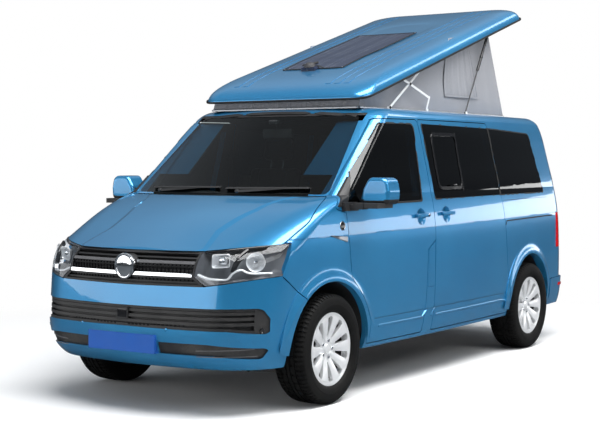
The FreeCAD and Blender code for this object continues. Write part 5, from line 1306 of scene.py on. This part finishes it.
def make_side_trim():
    """Wing flash with a blank badge, rear rail cover, and the doors' key cylinders."""
    bm = bmesh.new()
    wing = surface_of("wing_left", "side_left", "door_left")
    rings = []
    for k in range(13):
        width = 0.008 + 0.028 * k / 12
        verts = []
        for share, lift in ((-0.5, 0.0), (-0.35, 0.0045), (0.35, 0.0045), (0.5, 0.0)):
            spot, normal = from_left(wing, -1.531 + 0.169 * k / 12,
                                     1.046 - 0.028 * k / 12 + width * share)
            verts.append(bm.verts.new(spot + normal * lift))
        rings.append(ring(bm, verts))
    span(bm, rings)
    cap(bm, rings)
    spot, normal = from_left(wing, -1.404, 1.104)
    turned(bm, ((0, 0.0026), (0.020, 0.0024), (0.0235, 0.0018), (0.0235, -0.001),
                (0, -0.001)), spot, normal, steps=40, material=1)
    turned(bm, ((0.0235, 0.0018), (0.0255, 0.0034), (0.0280, 0.0022), (0.0290, -0.001),
                (0.0235, -0.001)), spot, normal, steps=40, closed=True)
    piece("wing_trim", bm, ["satin_metal", "gloss_black"], "body", both_sides=True)

    bm = bmesh.new()
    flank = surface_of("side_left")
    run_on(bm, flank, ((0.945, 1.047), (1.300, 1.051), (1.700, 1.055), (1.985, 1.058)),
           bar(0.010, 0.0024), -0.0004)
    run_on(bm, flank, ((0.925, 1.207), (1.400, 1.209), (1.900, 1.211)), bar(0.003, 0.0006),
           -0.0003)
    piece("rail_cover", bm, ["rubber"], "body")

    for side, door in CAB_DOORS:
        bm = bmesh.new()
        turned(bm, ((0, 0.0030), (0.0085, 0.0028), (0.0105, 0.0012), (0.0110, -0.001),
                    (0, -0.001)),
               *from_left(surface_of("door_left"), FRONT_AXLE + 1.190, 1.137), steps=28)
        if side < 0:
            flip(bm)
        piece(door + "_lock", bm, ["chrome"], door)


def make_mirror_parts():
    """Painted caps and mirror glass of the door mirrors."""
    def on_cap(centre, normal):
        return abs(centre.x) > 0.948 and centre.z > 1.268 and normal.y < 0.55

    for side, door in CAB_DOORS:
        name = door.replace("door", "mirror")
        finish_node(name, [("body_paint", on_cap)], "black_plastic")
        bm = bmesh.new()
        rings = []
        for inset, proud in ((0.030, 0.0), (0.034, 0.0015)):
            left, right = 0.931 + inset, 1.150 - inset
            low, high = 1.234 + inset, 1.406 - inset
            loop = rounded_path(((left, low, 0.045), (right, low, 0.035),
                                 (right, high, 0.055), (left, high, 0.035)), 8)
            rings.append(ring(bm, [bm.verts.new((side * p.x, MIRROR_FACE + proud, p.y))
                                   for p in loop]))
        span(bm, rings)
        cap(bm, rings)
        piece(name + "_glass", bm, ["chrome"], door)


def make_tail_lamps():
    """Lamp sections and their lines, reflectors and parking sensors."""
    finish_node("tail_lamps", [
        ("lens", lambda c, n: 0.872 < c.z < 0.922 and n.y > 0.3),
        ("amber_lens", lambda c, n: 0.922 < c.z < 0.985 and n.y > 0.3)], "tail_lamp")
    bm = bmesh.new()
    lamp = surface_of("tail_lamps")
    for z in (0.872, 0.922, 0.985):
        lay(bm, from_back, lamp, [(0.800 + 0.012 * k, z) for k in range(8)],
            bar(0.003, 0.0008))
    bumper = surface_of("rear_bumper")
    for spot, normal in (from_left(bumper, 2.190, 0.464), from_back(bumper, 0.660, 0.470)):
        known = set(bm.verts)
        block(bm, (-0.045, -0.012, -0.002), (0.045, 0.012, 0.0025), 0.002, 1)
        bmesh.ops.transform(bm, matrix=Matrix.Translation(spot) @ aim(normal),
                            verts=[vert for vert in bm.verts if vert not in known])
    for x in (0.270, 0.640):
        turned(bm, SENSOR, *from_back(bumper, x, 0.555), steps=24, material=2)
    piece("tail_details", bm, ["gloss_black", "tail_lamp", "body_paint"], "body",
          both_sides=True)


def make_rear_wiper(panel):
    bm = bmesh.new()
    foot, normal = from_back(panel, 0, 1.178)
    turned(bm, ((0, 0.030), (0.018, 0.029), (0.024, 0.022), (0.026, 0.0), (0, 0.0)),
           foot, normal, steps=28)
    arm, blade = [], []
    for k in range(9):
        t = k / 8
        spot, out = from_back(panel, 0.02 - 0.42 * t, 1.185 + 0.070 * t)
        arm.append(spot + out * (0.024 - 0.010 * t))
    sweep(bm, arm, bar(0.014, 0.006), ups=[normal] * len(arm))
    for k in range(13):
        t = k / 12
        spot, out = from_back(panel, -0.16 - 0.38 * t, 1.252 + 0.020 * t)
        blade.append(spot + out * 0.0005)
    sweep(bm, blade, bar(0.010, 0.014), ups=[normal] * len(blade))
    piece("rear_wiper", bm, ["black_plastic"], "tailgate")


def make_tailgate_parts():
    """Glass seal, wiper, blank badge, handle strip and plate lamps."""
    panel = surface_of("tailgate", "tailgate_glass")
    bm = bmesh.new()
    trace(bm, from_back, panel, TAILGATE_GLASS, bar(0.012, 0.0035), -0.0006)
    piece("tailgate_glass_seal", bm, ["rubber"], "tailgate")

    make_rear_wiper(panel)

    bm = bmesh.new()
    turned(bm, ((0, 0.0080), (0.034, 0.0070), (0.046, 0.0045), (0.050, 0.0020),
                (0.055, 0.0040), (0.059, 0.0020), (0.060, -0.002), (0, -0.002)),
           *from_back(panel, 0, 1.110), steps=60)
    piece("tail_badge", bm, ["chrome"], "tailgate")

    bm = bmesh.new()
    for z, high, deep, material in ((0.868, 0.034, 0.020, 0), (0.852, 0.010, 0.026, 1)):
        lay(bm, from_back, panel, [(-0.300 + 0.600 * k / 14, z) for k in range(15)],
            bar(high, deep), -0.001, material=material)
    for x in (-0.120, 0.120):
        spot, _ = from_back(panel, x, 0.846)
        block(bm, spot + Vector((-0.020, 0.004, -0.006)),
              spot + Vector((0.020, 0.018, 0.002)), 0.002, 2)
    piece("tailgate_handle", bm, ["body_paint", "gloss_black", "lens"], "tailgate")


def make_header():
    """Black strip along the windscreen's head."""
    bm = bmesh.new()
    half = 0.640
    across = [-half + 2 * half * k / 40 for k in range(41)]
    lay(bm, from_front, surface_of("roof_frame", "windscreen", "screen_trim"),
        [(x, 1.842 - 0.030 * (x / half) ** 2) for x in across], bar(0.034, 0.006))
    piece("header_strip", bm, ["black_plastic"], "body")


def finish_metals():
    """Dark strut rods, and a grille whose upper bar is grey beside the badge."""
    finish_node("strut_rods", [], "strut_black")
    finish_node("grille_trim", [("trim_grey", lambda c, n: c.z > 0.900 and abs(c.x) > 0.085)],
                "chrome")


def make_sill_ribs():
    """The pressed rib along the foot of the doors and the side."""
    def rib(skin, start, end):
        bm = bmesh.new()
        run_on(bm, skin, ((start, RIB_Z), (end, RIB_Z)),
               ((-0.014, -0.001), (0.010, -0.001), (0.004, 0.0022), (-0.008, 0.0026)))
        return bm

    for side, door in CAB_DOORS:
        bm = rib(surface_of("door_left"), FRONT_AXLE + 0.560, FRONT_AXLE + 1.225)
        if side < 0:
            flip(bm)
        piece(door + "_sill_rib", bm, ["body_paint"], door, sharp=60)
    bm = rib(surface_of("side_left", "sliding_door"), FRONT_AXLE + 1.260, REAR_AXLE - 0.470)
    piece("side_sill_rib", bm, ["body_paint"], "body", both_sides=True,
          sharp=60)


def line_cab():
    """Dark trim on the inner faces of doors, sides, roof frame and tailgate."""
    def inward(centre, normal):
        out = Vector((centre.x, 0, centre.z - 1.10)).normalized()
        return centre.z > 0.42 and normal.dot(out) < -0.45

    for name in ("side_left", "side_right", "sliding_door", "roof_frame", "door_left",
                 "door_right"):
        finish_node(name, [("trim_plastic", inward)], "body_paint")
    finish_node("tailgate", [("trim_plastic", lambda c, n: n.y < -0.4)], "body_paint")


def make_sides():
    line_cab()
    finish_metals()
    make_header()
    make_sill_ribs()
    make_window_seals()
    make_side_trim()
    make_mirror_parts()
    make_tail_lamps()
    make_tailgate_parts()


# ------------------------------------------------------- interior and underside
SEAT_X, SEAT_LEAN = 0.430, math.radians(13)
SEAT_HEEL = (FRONT_AXLE + 1.215, 0.870)     # where the back meets the cushion
BENCH_LEFT, BENCH_RIGHT = -0.450, 0.640
CHANNEL_DEPTH, CHANNEL_WIDTH = 0.0065, 0.009
CLOTH_FRAMES, PAD_FILL = 20, 0.8
STEERING = Vector((-0.400, FRONT_AXLE + 0.600, 1.140))      # the wheel's middle


def settle(obj):
    """Apply the object's modifiers to its mesh."""
    graph = bpy.context.evaluated_depsgraph_get()
    made = bpy.data.meshes.new_from_object(obj.evaluated_get(graph))
    obj.modifiers.clear()
    obj.data = made


def blow_up(pad, swell):
    """Cloth under pressure, stopped where a point has moved as far as the swell."""
    start = [vert.co.copy() for vert in pad.data.vertices]
    cloth = pad.modifiers.new("cloth", "CLOTH")
    cloth.settings.quality = 4
    cloth.settings.use_pressure = True
    cloth.settings.uniform_pressure_force = 4
    cloth.settings.effector_weights.gravity = 0
    cloth.point_cache.frame_start, cloth.point_cache.frame_end = 1, CLOTH_FRAMES
    for number in range(1, CLOTH_FRAMES + 1):
        SCENE.frame_set(number)
    settle(pad)
    SCENE.frame_set(1)
    for vert, home in zip(pad.data.vertices, start):
        moved = vert.co - home
        if moved.length > swell:
            vert.co = home + moved.normalized() * swell


def sew(pad, channels, low, high):
    """Press channels into the pad. Rows: (axis, place, face's axis, face's side)."""
    for vert in pad.data.vertices:
        for axis, where, face, side in channels:
            off = abs(vert.co[axis] - where) / CHANNEL_WIDTH
            middle = (low[face] + high[face]) / 2
            if off < 3 and (vert.co[face] - middle) * side > 0:
                vert.co[face] -= side * CHANNEL_DEPTH * math.exp(-off * off)


def stuffed(name, low, high, corner, channels=(), place=Matrix(), swell=0.012, voxel=0.010,
            replaces=(), copies=()):
    """A padded pad between two corners: blown up as cloth, then its channels sewn in.
    Copies are the moves that take it to its twins' places."""
    bm = bmesh.new()
    inset = Vector((swell, swell, swell)) * 0.8
    block(bm, Vector(low) + inset, Vector(high) - inset, corner, segments=5)
    mesh = bpy.data.meshes.new(name)
    bm.to_mesh(mesh)
    bm.free()
    pad = bpy.data.objects.new(name, mesh)
    SCENE.collection.objects.link(pad)
    remesh = pad.modifiers.new("remesh", "REMESH")
    remesh.mode = "VOXEL"
    remesh.voxel_size = voxel
    settle(pad)
    blow_up(pad, swell)
    finer = pad.modifiers.new("finer", "SUBSURF")
    finer.levels = finer.render_levels = 1
    settle(pad)
    sew(pad, channels, low, high)
    pads = [(pad, place)]
    for number, shift in enumerate(copies, 2):
        twin = bpy.data.objects.new("%s_%d" % (name, number), pad.data.copy())
        SCENE.collection.objects.link(twin)
        pads.append((twin, shift @ place))
    for obj, matrix in pads:
        obj.data.transform(matrix)
        obj.data.materials.clear()
        obj.data.materials.append(M["seat_fabric"])
        for polygon in obj.data.polygons:
            polygon.use_smooth = True
        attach(obj, "body")
        if replaces:
            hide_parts(*replaces)


def make_seats():
    """Two front seats and the rear bench, padded, with sewn channels."""
    front, back = FRONT_AXLE + 0.790, FRONT_AXLE + 1.280
    twin = Matrix.Translation((2 * SEAT_X, 0, 0))
    stuffed("front_seat_cushion", (-SEAT_X - 0.245, front, 0.752),
            (-SEAT_X + 0.245, back - 0.060, 0.872), 0.040,
            [(0, -SEAT_X - 0.130, 2, 1), (0, -SEAT_X + 0.130, 2, 1),
             (1, front + 0.150, 2, 1), (1, front + 0.290, 2, 1)],
            replaces=["front_seats"], copies=[twin])
    lean = (Matrix.Translation((0, *SEAT_HEEL)) @ Matrix.Rotation(-SEAT_LEAN, 4, "X")
            @ Matrix.Translation((0, -SEAT_HEEL[0], -SEAT_HEEL[1])))
    foot_y, foot_z = SEAT_HEEL
    stuffed("front_seat_back", (-SEAT_X - 0.235, foot_y - 0.060, foot_z - 0.020),
            (-SEAT_X + 0.235, foot_y + 0.055, foot_z + 0.620), 0.040,
            [(0, -SEAT_X - 0.125, 1, -1), (0, -SEAT_X + 0.125, 1, -1),
             (2, foot_z + 0.180, 1, -1), (2, foot_z + 0.400, 1, -1)],
            place=lean, replaces=["front_seats"], copies=[twin])
    stuffed("headrest", (-SEAT_X - 0.130, foot_y - 0.055, foot_z + 0.655),
            (-SEAT_X + 0.130, foot_y + 0.040, foot_z + 0.835), 0.035,
            place=lean, swell=0.008, voxel=0.008, replaces=["front_seats"], copies=[twin])
    bm = bmesh.new()
    for x in (-SEAT_X - 0.055, -SEAT_X + 0.055):
        rod(bm, (x, foot_y - 0.005, foot_z + 0.560), (x, foot_y - 0.005, foot_z + 0.700),
            0.006, segments=12)
    bmesh.ops.transform(bm, matrix=lean, verts=bm.verts)
    piece("headrest_posts", bm, ["chrome"], "body", both_sides=True,
          replaces=["front_seats"])
    stuffed("bench_cushion", (BENCH_LEFT, REAR_AXLE - 0.520, 0.742),
            (BENCH_RIGHT, REAR_AXLE + 0.035, 0.898), 0.045,
            [(0, -0.100, 2, 1), (0, 0.280, 2, 1), (1, REAR_AXLE - 0.330, 2, 1)],
            voxel=0.014, replaces=["rear_bench"])
    stuffed("bench_back", (BENCH_LEFT, REAR_AXLE - 0.048, 0.900),
            (BENCH_RIGHT, REAR_AXLE + 0.088, 1.478), 0.045,
            [(0, -0.100, 1, -1), (0, 0.280, 1, -1), (2, 1.150, 1, -1)],
            voxel=0.014, replaces=["rear_bench"])


def make_belts():
    """Belt straps on the pillars and the buckles beside the cushions."""
    bm = bmesh.new()
    pillar = FRONT_AXLE + 1.262
    strap = smooth_path(((0.800, pillar, 1.560), (0.795, pillar - 0.004, 1.350),
                         (0.790, pillar - 0.006, 1.000), (0.785, pillar - 0.010, 0.780)), 5)
    sweep(bm, strap, ((-0.023, -0.0006), (0.023, -0.0006), (0.023, 0.0006),
                      (-0.023, 0.0006)), ups=[(1, 0, 0)] * len(strap))
    block(bm, (0.790, pillar - 0.028, 1.540), (0.812, pillar + 0.028, 1.600), 0.006, 1)
    block(bm, (0.155, pillar - 0.170, 0.800), (0.180, pillar - 0.130, 0.905), 0.006, 1)
    piece("seat_belts", bm, ["seat_fabric", "trim_plastic"], "body",
          both_sides=True)


def make_dash_parts():
    """Instrument hood, centre screen, vents and the gear lever in its boot."""
    bm = bmesh.new()
    y = FRONT_AXLE + 0.400
    top, _ = onto(surface_of("dashboard"), (STEERING.x, y, 2.0), (0, 0, -1))
    hood = [(-0.400 + 0.175 * math.cos(a), y, top.z - 0.012 + 0.062 * math.sin(a))
            for a in [math.pi * k / 14 for k in range(15)]]
    sweep(bm, hood, ((-0.085, -0.004), (0.070, -0.004), (0.075, 0.0), (0.060, 0.006),
                     (-0.075, 0.004)))
    y = FRONT_AXLE + 0.496
    block(bm, (-0.110, y, 1.100), (0.110, y + 0.014, 1.215), 0.008, 1)
    for x in (-0.640, -0.180, 0.180, 0.640):
        block(bm, (x - 0.055, y + 0.002, 1.130), (x + 0.055, y + 0.011, 1.185), 0.008, 1)
        for k in range(4):
            block(bm, (x - 0.045, y + 0.010, 1.140 + 0.011 * k),
                  (x + 0.045, y + 0.014, 1.143 + 0.011 * k), 0.001, 0, 1)
    rod(bm, (0, y + 0.010, 0.960), (0, y + 0.110, 1.030), 0.008, segments=14)
    turned(bm, ((0, 0.028), (0.016, 0.024), (0.024, 0.006), (0.018, -0.018), (0, -0.022)),
           (0, y + 0.118, 1.040), (0, 0.6, 0.8), steps=24)
    for k in range(4):
        wide, narrow = 0.034 - 0.004 * k, 0.030 - 0.004 * k
        turned(bm, ((wide, 0.0), (narrow, 0.014), (0, 0.014), (0, 0.0)),
               (0, y + 0.012 + 0.010 * k, 0.960 + 0.008 * k), (0, 0.8, 0.6), steps=24)
    piece("dashboard_parts", bm, ["trim_plastic", "gloss_black"], "body")


def make_wheel_pad():
    """The steering wheel's middle pad, with a plain bright button."""
    bm = bmesh.new()
    axis = Vector((0, math.cos(math.radians(40)), math.sin(math.radians(40))))
    place = STEERING + axis * 0.004
    turned(bm, ((0, 0.020), (0.050, 0.017), (0.072, 0.006), (0.076, -0.008), (0, -0.010)),
           place, axis, steps=40)
    turned(bm, ((0, 0.0225), (0.018, 0.0222), (0.021, 0.020), (0, 0.019)), place, axis,
           steps=32, material=1)
    piece("wheel_pad", bm, ["trim_plastic", "chrome"], "steering_wheel")


def make_kitchen_parts():
    """Four door fronts on the kitchen unit, each with a round catch."""
    bm = bmesh.new()
    face, doors = -0.462, 4
    start, end = FRONT_AXLE + 1.450, REAR_AXLE + 0.040
    for k in range(doors):
        y0 = start + (end - start) * k / doors + 0.010
        y1 = start + (end - start) * (k + 1) / doors - 0.010
        block(bm, (face - 0.001, y0, 0.560), (face + 0.003, y1, 0.860), 0.0015, 0, 1)
        turned(bm, ((0, 0.006), (0.011, 0.005), (0.013, 0.002), (0.013, -0.001), (0, -0.001)),
               (face + 0.003, y1 - 0.050, 0.820), (1, 0, 0), steps=24, material=1)
    piece("kitchen_fronts", bm, ["furniture", "satin_metal"], "body")


def make_springs():
    """Coil springs over the front and the rear axle."""
    bm = bmesh.new()
    turns, steps = 5, 90
    for x, y, low, high, radius in ((0.560, FRONT_AXLE + 0.010, 0.520, 0.740, 0.058),
                                    (0.480, REAR_AXLE - 0.060, 0.360, 0.560, 0.052)):
        path = []
        for k in range(steps + 1):
            angle = math.tau * turns * k / steps
            path.append((x + radius * math.cos(angle), y + radius * math.sin(angle),
                         low + (high - low) * k / steps))
        sweep(bm, path, circle(0.0065, 8))
    piece("coil_springs", bm, ["strut_black"], "body", both_sides=True)


def make_inside():
    make_seats()
    make_belts()
    make_dash_parts()
    make_wheel_pad()
    make_kitchen_parts()
    make_springs()


# ------------------------------------------------------------ camera and light
CAMERA_PLACE = (5.250, -8.393, 1.506)
CAMERA_HEADING, CAMERA_FALL = math.radians(33.17), math.radians(2.65)
CAMERA_LENS, CAMERA_SHIFT = 78.96, (-0.0202, 0.0075)
# Banks of soft light: name, place, what they face, width, height, watts.
LIGHTS = (("top_bank", (3.4, -1.5, 9.0), (0.6, 0.0, 0), 10, 5, 1600),
          ("nose_bank", (-5.5, -10.5, 2.6), (0, -2.0, 0.8), 22, 3.2, 520),
          ("side_bank", (9.5, -2.0, 5.4), (0, 0.5, 1.0), 8, 2.4, 190),
          ("belt_strip", (6.4, 9.5, 1.75), (0.9, 1.0, 1.0), 11, 0.9, 110),
          ("rail_strip", (6.0, 8.0, 8.2), (0.9, 1.0, 1.6), 9, 1.6, 150))
# Light of the sky from straight down to straight up: share, colour.
SKY = ((0.0, (0.05, 0.06, 0.07)), (0.12, (0.08, 0.09, 0.105)), (0.35, (0.13, 0.15, 0.17)),
       (0.50, (0.24, 0.27, 0.30)), (0.64, (0.42, 0.45, 0.48)), (0.80, (0.22, 0.24, 0.26)),
       (1.0, (0.30, 0.31, 0.32)))
FLOOR_FADE = (2.6, 4.8)     # the floor turns to plain white between these distances


def turn_to(obj, place, look):
    """Put a camera or light in its place, looking along a direction."""
    obj.location = place
    obj.rotation_mode = "QUATERNION"
    obj.rotation_quaternion = look.to_track_quat("-Z", "Y")
    SCENE.collection.objects.link(obj)


def make_camera():
    data = bpy.data.cameras.new("camera")
    camera = bpy.data.objects.new("camera", data)
    data.sensor_width = 36.0
    data.lens = CAMERA_LENS
    data.shift_x, data.shift_y = CAMERA_SHIFT
    data.clip_end = 200
    level = math.cos(CAMERA_FALL)
    turn_to(camera, CAMERA_PLACE, Vector((-math.sin(CAMERA_HEADING) * level,
                                          math.cos(CAMERA_HEADING) * level,
                                          -math.sin(CAMERA_FALL))))
    SCENE.camera = camera


def make_lights():
    for name, place, target, width, height, power in LIGHTS:
        data = bpy.data.lights.new(name, "AREA")
        data.shape = "RECTANGLE"
        data.size, data.size_y = width, height
        data.energy = power
        turn_to(bpy.data.objects.new(name, data), place, Vector(target) - Vector(place))


def make_sky():
    """White for the camera; for light and reflections, dark at the horizon and
    brighter overhead."""
    world = bpy.data.worlds.new("studio")
    SCENE.world = world
    world.use_nodes = True
    tree = world.node_tree
    tree.nodes.clear()
    split = add(tree, "SeparateXYZ")
    tree.links.new(add(tree, "TexCoord").outputs["Generated"], split.inputs[0])
    shade = add(tree, "ValToRGB")
    tree.links.new(split.outputs["Z"], shade.inputs["Fac"])
    elements = shade.color_ramp.elements
    elements[0].position, elements[0].color = 0.0, (*SKY[0][1], 1)
    elements[1].position, elements[1].color = SKY[-1][0], (*SKY[-1][1], 1)
    for position, colour in SKY[1:-1]:
        elements.new(position).color = (*colour, 1)
    sky = add(tree, "Background", sockets={"Strength": 1.0})
    tree.links.new(shade.outputs["Color"], sky.inputs["Color"])
    seen = add(tree, "Background", sockets={"Color": (1, 1, 1, 1)})
    camera_ray = add(tree, "LightPath").outputs["Is Camera Ray"]
    tree.links.new(mix_shaders(tree, camera_ray, sky.outputs[0], seen.outputs[0]),
                   add(tree, "OutputWorld").inputs["Surface"])


def make_floor():
    """White studio floor, darker where the van mirrors it."""
    mesh = bpy.data.meshes.new("floor")
    bm = bmesh.new()
    bmesh.ops.create_grid(bm, x_segments=1, y_segments=1, size=60)
    bm.to_mesh(mesh)
    bm.free()
    floor = bpy.data.objects.new("floor", mesh)
    SCENE.collection.objects.link(floor)
    material, tree, shader = new_material("floor", Base_Color=(0.92, 0.92, 0.92),
                                          Roughness=0.7)
    ray = add(tree, "LightPath").outputs
    dim = add(tree, "BsdfDiffuse", sockets={"Color": (0.09, 0.10, 0.11, 1)})
    lit = mix_shaders(tree, ray["Is Glossy Ray"], shader.outputs[0], dim.outputs[0])
    away = add(tree, "VectorMath", operation="LENGTH")
    tree.links.new(add(tree, "TexCoord").outputs["Object"], away.inputs[0])
    fade = maths(tree, "MULTIPLY", ramp(tree, away.outputs["Value"], *FLOOR_FADE),
                 ray["Is Camera Ray"])
    white = add(tree, "Emission", sockets={"Color": (1, 1, 1, 1)})
    tree.links.new(mix_shaders(tree, fade, lit, white.outputs[0]),
                   tree.nodes["Material Output"].inputs["Surface"])
    mesh.materials.append(material)


def make_studio():
    """Soft banks over and beside the van, and strips that its side mirrors."""
    SCENE.view_settings.view_transform = "Standard"
    make_sky()
    make_floor()
    make_lights()


make_camera()
make_studio()
finish_nodes()
make_wheels()
make_roof()
make_front()
make_sides()
make_inside()
